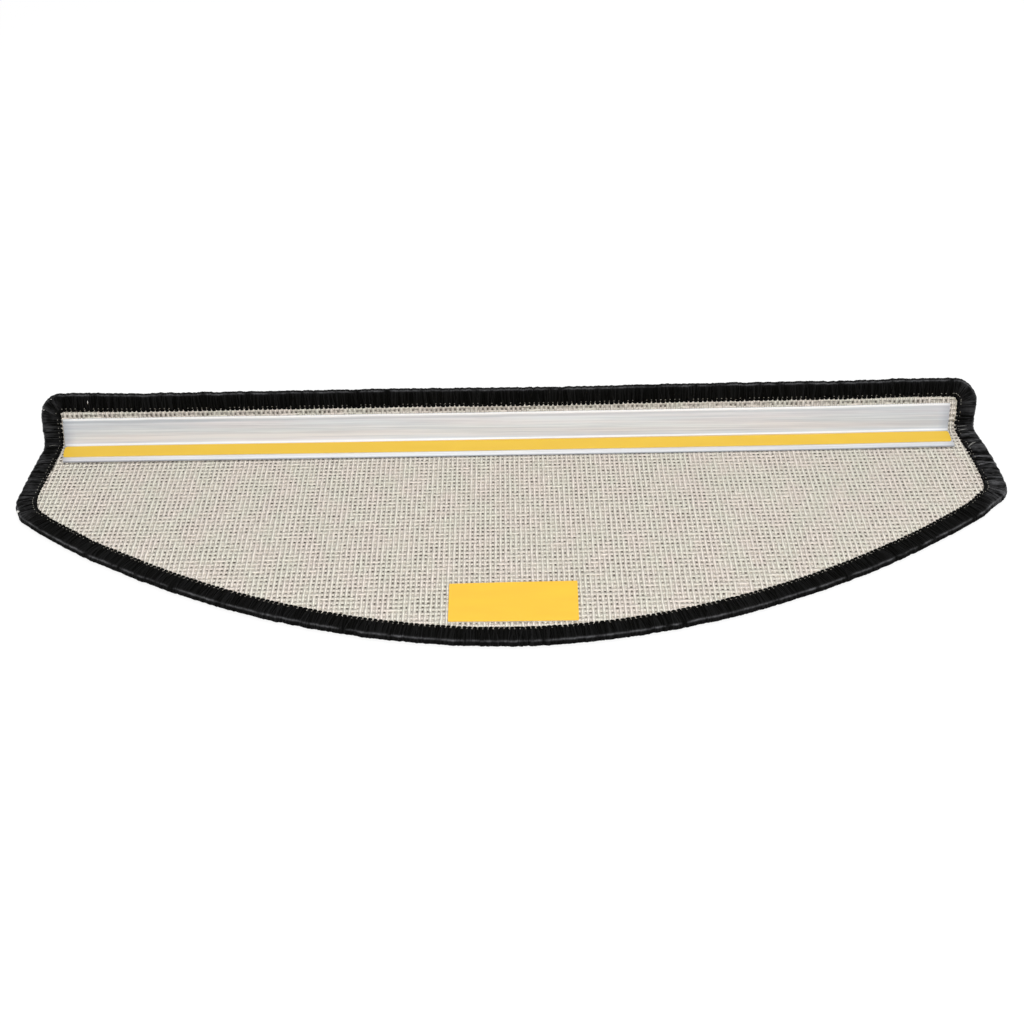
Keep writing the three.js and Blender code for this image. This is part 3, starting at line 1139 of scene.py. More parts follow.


# The second colour of each is the painted shade at its threads' feet
WARP_THREAD = ThreadFinish("warp_thread", linear(255, 249, 240), linear(228, 220, 209), 0.92, 0.99)
WEFT_THREAD = ThreadFinish("weft_thread", linear(252, 245, 236), linear(226, 217, 206), 0.88, 0.97)
LATEX = GroundFinish("latexed_ground", linear(124, 115, 104), linear(232, 224, 212), linear(30, 30, 33))
# The black yarn's light colour serves both its fibre tones and its painted highlights
BLACK_YARN = YarnFinish("black_yarn", linear(7, 7, 6), linear(98, 98, 100))
PILE_YARN = YarnFinish("pile_yarn", linear(40, 40, 43), linear(96, 96, 100), 0.6, 0.75, 0.2)
PALE_THREAD = YarnFinish("pale_thread", linear(128, 127, 124), linear(222, 220, 214), 0.8)
SPECK = YarnFinish("speck", linear(120, 117, 110), linear(190, 186, 176), 0.8)
LINT = YarnFinish("lint", linear(225, 223, 218), linear(250, 248, 244), 0.8)
# Its last two colours are the painted highlight and the painted shade of its bands
MILKY_PLASTIC = PlasticFinish(
    "milky_plastic", linear(227, 228, 231), linear(196, 198, 204), linear(255, 249, 247),
    linear(246, 251, 252), linear(255, 255, 254), linear(140, 146, 157),
    highlight_bands=(Band(22.6, 0.9, 0.8), Band(40.8, 0.8, 0.6), Band(57.4, 2.4, 0.25)),
    shade_bands=(Band(24.8, 0.9, 0.22), Band(60.4, 0.7, 0.55)))
PATCH_FILM = FilmFinish("patch_release_film", linear(249, 197, 44), linear(245, 190, 44))
TAPE_FILM = FilmFinish("tape_release_film", linear(235, 194, 57), linear(231, 189, 55))
FOAM_TAPE = FilmFinish("tape_adhesive", linear(232, 226, 208), linear(216, 208, 188), 0.6)


@dataclass(frozen=True)
class PhotoCamera:
    """The camera's place and aim, worked out from the mat's own lines in the photograph."""

    position: tuple[float, float, float] = (0.00253, -0.71428, 0.56452)
    look_down: float = math.radians(37.608)
    yaw: float = math.radians(-0.118)
    roll: float = math.radians(-1.107)
    focal_pixels: float = 1424.2
    image_pixels: float = 1024.0
    sensor_mm: float = 36.0
    nearest: float = 0.01

    def build(self) -> None:
        """Makes the camera and gives it to the scene."""
        lens = bpy.data.cameras.new("photo_camera")
        lens.sensor_width = self.sensor_mm
        lens.lens = self.focal_pixels / self.image_pixels * self.sensor_mm
        lens.clip_start = self.nearest
        level = math.cos(self.look_down)
        forward = Vector((
            math.sin(self.yaw) * level, math.cos(self.yaw) * level, -math.sin(self.look_down)))
        flat_right = Vector((math.cos(self.yaw), -math.sin(self.yaw), 0))
        flat_up = flat_right.cross(forward)
        right = flat_right * math.cos(self.roll) + flat_up * math.sin(self.roll)
        up = flat_up * math.cos(self.roll) - flat_right * math.sin(self.roll)
        turn = Matrix((right, up, -forward)).transposed().to_4x4()
        camera = object_of("photo_camera", lens)
        camera.matrix_world = Matrix.Translation(self.position) @ turn
        bpy.context.scene.camera = camera


@dataclass(frozen=True)
class Softbox:
    """One soft studio lamp."""

    name: str
    position: tuple[float, float, float]
    aim: tuple[float, float, float]
    width: float
    height: float
    watts: float

    def build(self) -> None:
        """Hangs the lamp."""
        lamp = bpy.data.lights.new(self.name, "AREA")
        lamp.shape, lamp.energy = "RECTANGLE", self.watts
        lamp.size, lamp.size_y = self.width, self.height
        holder = object_of(self.name, lamp)
        holder.location = self.position
        direction = Vector(self.aim) - Vector(self.position)
        holder.rotation_euler = direction.to_track_quat("-Z", "Y").to_euler()


@dataclass(frozen=True)
class Studio:
    """The white sweep that the mat lies on, and the light round it."""

    floor_half: float = 3.0
    floor_drop: float = 0.0002
    floor_level: float = 0.9
    floor_glow: float = 0.86
    floor_roughness: float = 0.9
    floor_shadow_share: float = 0.2
    sky_light: float = 0.49
    lamps: tuple[Softbox, ...] = (
        Softbox("front_softbox", (0.14, -1.0, 1.05), (0.03, 0, 0), 1.2, 0.8, 11.6),
        Softbox("top_softbox", (0.3, 0.5, 2.0), (0, 0, 0), 1.8, 1.2, 14.5),
    )

    def build(self) -> None:
        """Lays the floor and hangs the lights."""
        half, z = self.floor_half, -self.floor_drop
        corners = [(-half, -half, z), (half, -half, z), (half, half, z), (-half, half, z)]
        floor = object_of("studio_floor", mesh_of("studio_floor", corners, [(0, 1, 2, 3)]))
        floor.data.materials.append(self._floor_material())
        self._build_sky()
        for lamp in self.lamps:
            lamp.build()

    def _seen(self, bench: Bench) -> Signal:
        """Gives 1 where a ray comes from the camera, a mirror or through glass."""
        path = bench.node("ShaderNodeLightPath")
        return (path["Is Camera Ray"] + path["Is Glossy Ray"] + path["Is Transmission Ray"]).at_most(1.0)

    def _floor_material(self) -> bpy.types.Material:
        """Builds a floor that looks white and still takes the mat's shadow.

        Returns:
            The material.
        """
        paint = Paint("studio_floor")
        colour, faint = ((level,) * 3 for level in (
            self.floor_level, self.floor_level * self.floor_shadow_share))
        feeds = {"Color": (1.0, 1.0, 1.0), "Strength": self.floor_glow}
        glow = paint.node("ShaderNodeEmission", feeds=feeds)["Emission"]
        diffuse = paint.node("ShaderNodeBsdfDiffuse", feeds={"Color": faint})["BSDF"]
        lit, mix = paint.node("ShaderNodeAddShader"), paint.node("ShaderNodeMixShader")
        plain = Signal(paint, paint.shader.outputs[0])
        joints = (
            (lit.node.inputs, (glow, diffuse)),
            (mix.node.inputs, (self._seen(paint), plain, lit["Shader"])),
            (paint.tree.nodes["Material Output"].inputs, (mix["Shader"],)))
        for sockets, signals in joints:
            for socket, signal in zip(sockets, signals):
                paint.feed(socket, signal)
        return paint.dressed({
            "Base Color": colour, "Roughness": self.floor_roughness, "Specular IOR Level": 0.0})

    def _build_sky(self) -> None:
        """Makes the world a soft white light that looks plain white."""
        world = bpy.data.worlds.new("studio_light")
        bpy.context.scene.world = world
        world.use_nodes = True
        bench = Bench(world.node_tree)
        background = world.node_tree.nodes["Background"]
        bench.feed(background.inputs["Color"], (1.0, 1.0, 1.0))
        light = self._seen(bench) * (1.0 - self.sky_light) + self.sky_light
        bench.feed(background.inputs["Strength"], light)


class Run(Enum):
    """Which way a thread of the backing runs."""

    IN_DEPTH = "Y"
    ACROSS = "X"

    def crossed(self, across: Feed, along: Feed) -> tuple[Feed, Feed]:
        """Gives what belongs to x and to y, from what lies across the thread and along it."""
        return (across, along) if self is Run.IN_DEPTH else (along, across)


@dataclass(frozen=True)
class ThreadSizes:
    """The section and path of one set of threads, in metres."""

    name: str
    run: Run
    threads: int
    steps: int
    pitch: float
    step: float
    crossing_pitch: float
    foot_width: float
    top_width: float
    thickness: float
    crest: float
    dip: float
    wander: float
    seed: int


@dataclass
class WovenBacking:
    """The open weave on the mat's back: a latexed ground with warp and weft threads on it."""

    pattern: MatPattern
    fold: FoldGroup
    reach: Sequence[Vector]
    warp_pitch: float = 3.2 * MM
    weft_pitch: float = 3.75 * MM
    warp_count: int = 205
    weft_count: int = 67
    weft_sink: float = 0.1 * MM
    ground_inset: float = 4.0 * MM
    ground_top: float = 4.7 * MM
    ground_bottom: float = 2.0 * MM
    ground_columns: int = 48
    row_step: float = 8.0 * MM
    end_gap: float = 0.05 * MM
    nose_rows: int = 6
    nose_spread: float = 0.25 * MM
    bend_steps: int = 8
    lip_steps: int = 5
    corner_rows: int = 3
    corner_spread: float = 0.6 * MM
    unevenness: float = 0.17 * MM
    lift_middle: float = 0.7
    # The lumps of the threads in each metre, across them and along them
    lumps_across: float = 900.0
    lumps_along: float = 190.0

    def warp(self) -> ThreadSizes:
        """Gives the threads that run in depth, which stand highest."""
        return ThreadSizes(
            "warp_threads", Run.IN_DEPTH, self.warp_count, 2 * self.weft_count - 1, self.warp_pitch,
            self.weft_pitch / 2, self.weft_pitch, 2.1 * MM, 0.5 * MM, 0.45 * MM,
            self.pattern.thickness, 0.2 * MM, 0.55 * MM, 11)

    def weft(self) -> ThreadSizes:
        """Gives the threads that run across, under the others."""
        return ThreadSizes(
            "weft_threads", Run.ACROSS, self.weft_count, self.warp_count, self.weft_pitch,
            self.warp_pitch, self.warp_pitch, 2.3 * MM, 0.8 * MM, 0.5 * MM,
            self.pattern.thickness - self.weft_sink, 0.0, 0.6 * MM, 12)

    def _threads(self, sizes: ThreadSizes, plate: bpy.types.Object,
                 material: bpy.types.Material) -> bpy.types.Object:
        """Grows one set of threads.

        Args:
            sizes: The threads' section and path.
            plate: The plate that they are trimmed to.
            material: Their material.

        Returns:
            The threads.
        """
        growth = Growth(sizes.name)
        crossed = sizes.run.crossed
        (pitch, step, threads, steps, middle, foot, top, thickness, crest, dip, wander,
         trim) = growth.inputs(
            pitch=sizes.pitch, step=sizes.step, threads=sizes.threads, steps=sizes.steps,
            middle=self.pattern.free_edge / 2, foot_width=sizes.foot_width,
            top_width=sizes.top_width, thickness=sizes.thickness, crest=sizes.crest,
            dip=sizes.dip, wander=sizes.wander, plate=plate)
        grid = growth.grid(crossed(threads, steps), crossed(pitch, step))
        ends = growth.node("GeometryNodeInputMeshEdgeVertices")
        x, y, _ = growth.parted(growth.vector("SUBTRACT", ends["Position 1"], ends["Position 2"]))
        across, along = crossed(x, y)
        feeds = {"Geometry": grid, "Selection": (across.size() - along.size()).above(0.0)}
        lines = growth.node(
            "GeometryNodeDeleteGeometry", {"domain": "EDGE", "mode": "EDGE_FACE"}, feeds)["Geometry"]
        trimmed = growth.on_plate(lines, middle, trim)

        x, y, z = growth.place()
        wave = ((y - middle) * (2 * math.pi / sizes.crossing_pitch)).cosine() * 0.5 - 0.5
        lumps = Grain(*crossed(self.lumps_across, self.lumps_along), 0.0, 1.0)
        side, lift, girth = growth.parted(growth.noise(lumps, (x, y, z), "Color"))
        height = crest - thickness * 0.5 + dip * wave + (lift - self.lift_middle) * self.unevenness
        shift = (side - 0.5) * wander * 2.0
        waved = growth.moved(trimmed, growth.joined(*crossed(shift, 0.0), height))
        curves = growth.node("GeometryNodeMeshToCurve", feeds={"Mesh": waved})["Curve"]
        upright = growth.node(
            "GeometryNodeSetCurveNormal", {"mode": "Z_UP"}, {"Curve": curves})["Curve"]
        swelling = growth.kept(upright, "swelling", girth + 0.5)
        toned = growth.kept(swelling, "tone", growth.random(0.0, 1.0, sizes.seed))
        feeds = {"Bottom Width": foot, "Top Width": top, "Height": thickness, "Offset": 0.0}
        section = growth.node(
            "GeometryNodeCurvePrimitiveQuadrilateral", {"mode": "TRAPEZOID"}, feeds)["Curve"]
        feeds = {
            "Curve": toned, "Profile Curve": section, "Fill Caps": True,
            "Scale": growth.read("swelling")}
        solid = growth.node("GeometryNodeCurveToMesh", feeds=feeds)["Mesh"]
        return self.fold.grow_folded(growth, solid, material)

    def _ground_mesh(self) -> bpy.types.Mesh:
        """Makes the flat ground sheet, with rows close together where it bends or rounds off.

        Returns:
            The sheet.
        """
        pattern = self.pattern
        loop = pattern.loop(self.ground_inset)
        low, high = min(p.y for p in loop), max(p.y for p in loop)
        nose = [low + self.end_gap + self.nose_spread * k * k for k in range(self.nose_rows)]
        bend_length = pattern.fold_end - pattern.fold_start
        bend = [pattern.fold_start + bend_length * k / self.bend_steps
                for k in range(self.bend_steps + 1)]
        tread_rows = round((bend[0] - nose[-1]) / self.row_step)
        tread = [nose[-1] + (bend[0] - nose[-1]) * k / tread_rows for k in range(1, tread_rows)]
        lip = [bend[-1] + (high - bend[-1]) * k / self.lip_steps for k in range(1, self.lip_steps)]
        corner = [high - self.end_gap - self.corner_spread * k * k
                  for k in reversed(range(self.corner_rows))]
        return sheet_mesh(
            "ground", loop, [*nose, *tread, *bend, *lip, *corner], self.ground_columns,
            self.ground_bottom, self.ground_top)

    def build(self) -> list[bpy.types.Object]:
        """Builds the ground and both sets of threads.

        Returns:
            The ground, the warp and the weft.
        """
        pieces = [self.fold.folded("latexed_ground", self._ground_mesh(), LATEX.material())]
        plate = plate_of(self.reach)
        for sizes, finish in ((self.warp(), WARP_THREAD), (self.weft(), WEFT_THREAD)):
            pieces.append(self._threads(sizes, plate, finish.material()))
        bpy.data.objects.remove(plate)
        return pieces


@dataclass
class LoopPile:
    """The loops of yarn on the mat's walking side, which lie on the floor here."""

    pattern: MatPattern
    fold: FoldGroup
    gauge: float = 3.2 * MM
    stitch: float = 3.6 * MM
    loop_width: float = 3.7 * MM
    loop_length: float = 4.4 * MM
    loop_height: float = 3.4 * MM
    inset: float = 12.5 * MM
    # How far a loop strays across and along, and how far it tips over and turns, in radians
    stray_across: float = 0.35 * MM
    stray_along: float = 0.9 * MM
    tip: float = 0.15
    turn: float = 0.35
    widths: tuple[float, float] = (0.9, 1.1)
    seed: int = 31

    def build(self) -> bpy.types.Object:
        """Sets one loop at each stitch of the pile.

        Returns:
            The pile.
        """
        plate = plate_of(self.pattern.loop(self.inset))
        growth = Growth("pile_loops")
        gauge, stitch, rows, stitches, middle, width, length, height, trim = growth.inputs(
            gauge=self.gauge, stitch=self.stitch, rows=round(self.pattern.width / self.gauge),
            stitches=round(self.pattern.free_edge / self.stitch),
            middle=self.pattern.free_edge / 2, loop_width=self.loop_width,
            loop_length=self.loop_length, loop_height=self.loop_height, plate=plate)
        trimmed = growth.on_plate(growth.grid((rows, stitches), (gauge, stitch)), middle, trim)
        across, along, tip, turn = (
            growth.random(-most, most, self.seed + number) for number, most in enumerate(
                (self.stray_across, self.stray_along, self.tip, self.turn)))
        points = growth.moved(trimmed, growth.joined(across, along, height * 0.5))
        broad = width * growth.random(*self.widths, self.seed + 4)
        loops = growth.repeated(
            growth.ball(1), points, growth.turned(tip, 0.0, turn),
            growth.joined(broad, length, height), {"tone": growth.random(0.0, 1.0, self.seed + 5)})
        pile = self.fold.grow_folded(growth, loops, PILE_YARN.material())
        bpy.data.objects.remove(plate)
        return pile


@dataclass(frozen=True)
class Swell:
    """A place where the edge bulges out of its cutting line, or is pulled in."""

    x: float
    y: float
    reach: float
    push: float

    def push_at(self, place: Vector) -> float:
        """Gives how far it pushes the edge out at one place."""
        return self.push * math.exp(-((place - Vector((self.x, self.y))).length / self.reach) ** 2)


@dataclass(frozen=True)
class BeadSizes:
    """A row of small rounded beads along the yarn, such as the stitches that lock it."""

    name: str
    length: float
    width: float
    height: float
    inset: float
    level: float
    along: float
    share: float
    seed: int


@dataclass
class OverlockedEdge:
    """The black yarn that is wrapped round the whole edge, locked by a row of stitches."""

    pattern: MatPattern
    fold: FoldGroup
    wrap_pitch: float = 0.8 * MM
    wrap_half_width: float = 0.56 * MM
    wrap_half_height: float = 0.22 * MM
    wraps_to_a_stitch: int = 4
    stitches: BeadSizes = BeadSizes(
        "lock_stitches", 2.95 * MM, 1.9 * MM, 1.15 * MM, 12.35 * MM, 5.6 * MM, 0.0, 1.0, 60)
    specks: BeadSizes = BeadSizes(
        "backing_specks", 0.9 * MM, 0.6 * MM, 0.45 * MM, 10.7 * MM, 6.15 * MM, 0.5, 0.75, 80)
    front_width: float = 12.5 * MM
    side_width: float = 14.2 * MM
    right_side_gain: float = 1.6 * MM
    gain_reach: float = 15.0 * MM
    nominal_width: float = 13.0 * MM
    thread_inset: float = 11.6 * MM
    core_sink: float = 0.35 * MM
    lump_height: float = 1.8 * MM
    lumps: Grain = Grain(260.0, 260.0, 260.0, 2.0, 0.6)
    waves: Grain = Grain(70.0, 70.0, 70.0)
    wave_share: float = 0.8
    # The lumps of the painted highlight streaks on the sides, in groups of wraps
    bundles: Grain = Grain(340.0, 340.0, 340.0, 2.0, 0.6)
    # A stitched wrap reaches further in, and each wrap varies in its reach, slant, width and height
    stitched_reach: float = 0.05
    reach_spread: float = 0.015
    slant: float = 0.02
    slant_spread: float = 0.035
    wrap_widths: tuple[float, float] = (0.85, 1.1)
    wrap_end_width: float = 0.6
    bead_stray: float = 0.1
    bead_lengths: tuple[float, float] = (0.85, 1.1)
    bead_turn: float = 0.2
    bead_tone: float = 0.6
    lump_thickness: float = 0.06
    height_spread: float = 0.006
    # Where the painted highlight streaks on the sides start, over what stretch, and how much stronger
    # they are on the right tread
    side_start: float = 0.935
    side_fade: float = 0.04
    side_light: float = 0.45
    right_light: float = 0.55
    seed: int = 51
    swells: tuple[Swell, ...] = (
        Swell(0.010, 0.000, 0.075, 1.2 * MM), Swell(0.316, 0.121, 0.010, -2.3 * MM),
        Swell(0.325, 0.150, 0.012, 0.8 * MM), Swell(0.3235, 0.168, 0.016, 1.7 * MM),
        Swell(0.323, 0.187, 0.009, 1.3 * MM), Swell(0.320, 0.211, 0.006, -0.7 * MM),
        Swell(0.3155, 0.238, 0.008, -0.9 * MM), Swell(0.283, 0.245, 0.030, 0.8 * MM),
        Swell(0.030, 0.244, 0.060, -0.7 * MM), Swell(-0.298, 0.244, 0.030, 1.0 * MM),
        Swell(-0.3215, 0.227, 0.010, -0.6 * MM), Swell(-0.324, 0.130, 0.012, -1.5 * MM),
        Swell(-0.312, 0.120, 0.008, -0.6 * MM), Swell(-0.268, 0.088, 0.014, 0.8 * MM))
    # The way of one wrap in from the edge and up from the pile, in millimetres, and how much painted
    # highlight it gets there, on the shoulder of its turned edge
    wrap_path: tuple[tuple[float, float, float], ...] = (
        (12.0, 5.5, 0.0), (11.3, 5.8, 0.0), (8.6, 5.95, 0.0), (4.2, 5.9, 0.0), (2.0, 5.6, 0.15),
        (1.15, 5.0, 1.0), (0.55, 4.1, 0.15), (0.4, 2.1, 0.0), (1.3, 0.85, 0.0), (3.6, 0.3, 0.0),
        (8.6, 0.3, 0.0), (12.6, 0.45, 0.0))

    def outline(self) -> list[EdgePoint]:
        """Gives the cutting line with its swells."""
        return [EdgePoint(p.at + p.out * sum(swell.push_at(p.at) for swell in self.swells), p.out)
                for p in self.pattern.outline()]

    def _scale(self, point: EdgePoint) -> float:
        """Gives how much wider or narrower the yarn is than its nominal width.

        Args:
            point: A point of the outline.

        Returns:
            The width there as a share of the nominal width.
        """
        on_tread = min(max((self.pattern.fold_middle - point.at.y) / self.gain_reach, 0.0), 1.0)
        side_width = self.side_width + (self.right_side_gain * on_tread if point.at.x > 0 else 0.0)
        width = self.front_width + (side_width - self.front_width) * point.out.x ** 4
        return width / self.nominal_width

    def inner_loop(self) -> list[Vector]:
        """Gives the line under the inner ends of the wraps, where the backing's threads end."""
        return [p.at - p.out * (self._scale(p) * self.thread_inset) for p in self.outline()]

    def _outline_mesh(self) -> bpy.types.Mesh:
        """Makes the outline as a loop of edges that knows the yarn's reach.

        Returns:
            The loop.
        """
        outline = self.outline()
        edges = [(i, (i + 1) % len(outline)) for i in range(len(outline))]
        mesh = mesh_of("edge_line", [(p.at.x, p.at.y, 0) for p in outline], edges=edges)
        keep_values(mesh, "reach", [self._scale(point) for point in outline])
        return mesh

    def _core_mesh(self) -> bpy.types.Mesh:
        """Makes the solid band under the wraps, a little smaller than they are.

        Returns:
            The band.
        """
        rings = []
        for point in self.outline():
            scale = self._scale(point) * MM
            ring = []
            for inset, height, _ in self.wrap_path[1:-1]:
                z = height * MM + (self.core_sink if height < 3 else -self.core_sink)
                spot = point.at - point.out * (inset * scale + self.core_sink)
                ring.append((spot.x, spot.y, z))
            rings.append(ring)
        return mesh_of("edge_core", *swept(rings, closed=True))

    def _wrap_mesh(self) -> bpy.types.Mesh:
        """Makes one wrap of yarn: a flattened tube that lies over x < 0 and runs round x = 0.

        Returns:
            The wrap.
        """
        path = [Vector((-inset * MM, 0, height * MM)) for inset, height, _ in self.wrap_path]
        rings = []
        for index, spot in enumerate(path):
            before, after = path[max(index - 1, 0)], path[min(index + 1, len(path) - 1)]
            narrow = self.wrap_end_width if index in (0, len(path) - 1) else 1.0
            across = Vector((0, self.wrap_half_width * narrow, 0))
            rise = (after - before).normalized().cross(Vector((0, -1, 0))) * self.wrap_half_height
            rings.append([spot + across, spot + rise * narrow, spot - across, spot - rise * narrow])
        mesh = mesh_of("one_wrap", *swept(rings))
        # The painted highlight on the turned edge's shoulder, for the yarn's material
        keep_values(mesh, "ridge", [highlight_weight for _, _, highlight_weight in self.wrap_path for _ in range(4)])
        keep_values(mesh, "lane", [1.0, 0.0, -1.0, 0.0] * len(path))
        return mesh

    def _spots(self, growth: Growth, pitch: Signal) -> tuple[Signal, Signal, Signal, Signal]:
        """Spreads points along the edge.

        Args:
            growth: The tree that the edge line goes into.
            pitch: The distance between the points.

        Returns:
            The points, the direction out of the mat, the lumps' height and the yarn's reach.
        """
        curve = growth.node("GeometryNodeMeshToCurve", feeds={"Mesh": growth.geometry})["Curve"]
        even = growth.node(
            "GeometryNodeResampleCurve", {"mode": "LENGTH"}, {"Curve": curve, "Length": pitch})["Curve"]
        tangent = growth.node("GeometryNodeInputTangent")["Tangent"]
        out = growth.vector("CROSS_PRODUCT", tangent, (0.0, 0.0, 1.0))
        lumps, waves = (growth.noise(grain, growth.place()) - 0.5 for grain in (self.lumps, self.waves))
        return even, out, lumps + waves * self.wave_share, growth.read("reach")

    def _facing(self, growth: Growth, out: Signal, slant: Feed) -> Signal:
        """Turns x out of the mat.

        Args:
            growth: The tree.
            out: The direction out of the mat.
            slant: A small extra turn about z.

        Returns:
            The rotation.
        """
        settings = {"primary_axis": "Z", "secondary_axis": "X"}
        feeds = {"Primary Axis": (0.0, 0.0, 1.0), "Secondary Axis": out}
        facing = growth.node("FunctionNodeAxesToRotation", settings, feeds)["Rotation"]
        feeds = {"Rotation": facing, "Rotate By": growth.turned(0.0, 0.0, slant)}
        return growth.node("FunctionNodeRotateRotation", {"rotation_space": "LOCAL"}, feeds)["Rotation"]

    def _pushed(self, growth: Growth, points: Signal, way: Signal, amount: Signal,
                level: float = 0.0) -> Signal:
        """Moves points a way by an amount, and up to a level."""
        push = growth.vector("MULTIPLY", way, growth.joined(amount, amount, 0.0))
        return growth.moved(points, growth.vector("ADD", push, (0.0, 0.0, level)))

    def _side_light(self, growth: Growth) -> Signal:
        """Gives how strong the painted highlight streaks on the yarn's sides are.

        Args:
            growth: The tree.

        Returns:
            0 along the front and the lip's free edge, and more on the sides.
        """
        x, y, _ = growth.place()
        half = self.pattern.width / 2
        side = ((x.size() - half * self.side_start) / (half * self.side_fade)).limited()
        right_tread = x.above(0.0) * (1.0 - y.above(self.pattern.fold_middle))
        return side * (self.side_light + right_tread * self.right_light)

    def _wraps(self, wrap: bpy.types.Object, core: bpy.types.Object,
               material: bpy.types.Material) -> bpy.types.Object:
        """Lays the wraps round the edge, on their core.

        Args:
            wrap: One wrap of yarn.
            core: The band under the wraps.
            material: The yarn's material.

        Returns:
            The finished yarn.
        """
        growth = Growth("overlock_yarn")
        pitch, one, band = growth.inputs(wrap_pitch=self.wrap_pitch, wrap=wrap, core=core)
        even, out, lumps, reach = self._spots(growth, pitch)
        index = growth.node("GeometryNodeInputIndex")["Index"]
        stitched = 1.0 - growth.math("MODULO", index, float(self.wraps_to_a_stitch)).above(0.5)
        stray, turn, rise = (
            growth.random(-most, most, self.seed + number) for number, most in (
                (0, self.reach_spread), (1, self.slant_spread), (3, self.height_spread)))
        scale = growth.joined(
            reach + stitched * self.stitched_reach + stray,
            growth.random(*self.wrap_widths, self.seed + 2), 1.0 + lumps * self.lump_thickness + rise)
        wraps = growth.repeated(
            growth.shape_of(one, whole=True),
            self._pushed(growth, even, out, lumps * self.lump_height),
            self._facing(growth, out, turn + self.slant), scale,
            {"bundle": growth.noise(self.bundles, growth.place()),
             "tone": growth.random(0.0, 1.0, self.seed + 4)})
        feeds = {"Geometry": [wraps, growth.shape_of(band)]}
        all_yarn = growth.node("GeometryNodeJoinGeometry", feeds=feeds)["Geometry"]
        # How strong the painted highlight streaks are, kept for the yarn's material
        lit = growth.kept(all_yarn, "side", self._side_light(growth))
        return self.fold.grow_folded(growth, lit, material, self._outline_mesh())

    def _beads(self, beads: BeadSizes, material: bpy.types.Material) -> bpy.types.Object:
        """Sets a row of beads along the yarn's inner edge.

        Args:
            beads: Their sizes, their place, and the share of the places that have one.
            material: Their material.

        Returns:
            The finished row.
        """
        growth = Growth(beads.name)
        pitch, length, width, height, inset = growth.inputs(
            stitch_pitch=self.wrap_pitch * self.wraps_to_a_stitch, bead_length=beads.length,
            bead_width=beads.width, bead_height=beads.height, bead_inset=beads.inset)
        even, out, _, reach = self._spots(growth, pitch)
        stray = self.bead_stray * beads.width
        inwards = growth.random(-stray, stray, beads.seed) - inset * reach
        placed = self._pushed(growth, even, out, inwards, beads.level)
        onward = growth.vector("CROSS_PRODUCT", (0.0, 0.0, 1.0), out)
        spots = self._pushed(growth, placed, onward, pitch * beads.along)
        long = length * growth.random(*self.bead_lengths, beads.seed + 3)
        row = growth.repeated(
            growth.ball(2), spots,
            self._facing(growth, out, growth.random(-self.bead_turn, self.bead_turn, beads.seed + 2)),
            growth.joined(width, long, height),
            {"tone": growth.random(0.0, self.bead_tone, beads.seed + 4)},
            1.0 - growth.random(0.0, 1.0, beads.seed + 1).above(beads.share))
        return self.fold.grow_folded(growth, row, material, self._outline_mesh())

    def build(self) -> list[bpy.types.Object]:
        """Builds the wraps and the beads along them.

        Returns:
            The wraps, the stitches and the specks of the backing between the stitches.
        """
        material = BLACK_YARN.material()
        wrap = object_of("one_wrap", self._wrap_mesh())
        core = object_of("edge_core", self._core_mesh())
        pieces = [
            self._wraps(wrap, core, material), self._beads(self.stitches, material),
            self._beads(self.specks, SPECK.material())]
        for helper in (wrap, core):
            bpy.data.objects.remove(helper)
        return pieces


@dataclass(frozen=True)
class LooseThread:
    """A thread that lies slack over the yarn edge, in flat coordinates."""

    start: tuple[float, float]
    end: tuple[float, float]
    radius: float
    bow: float


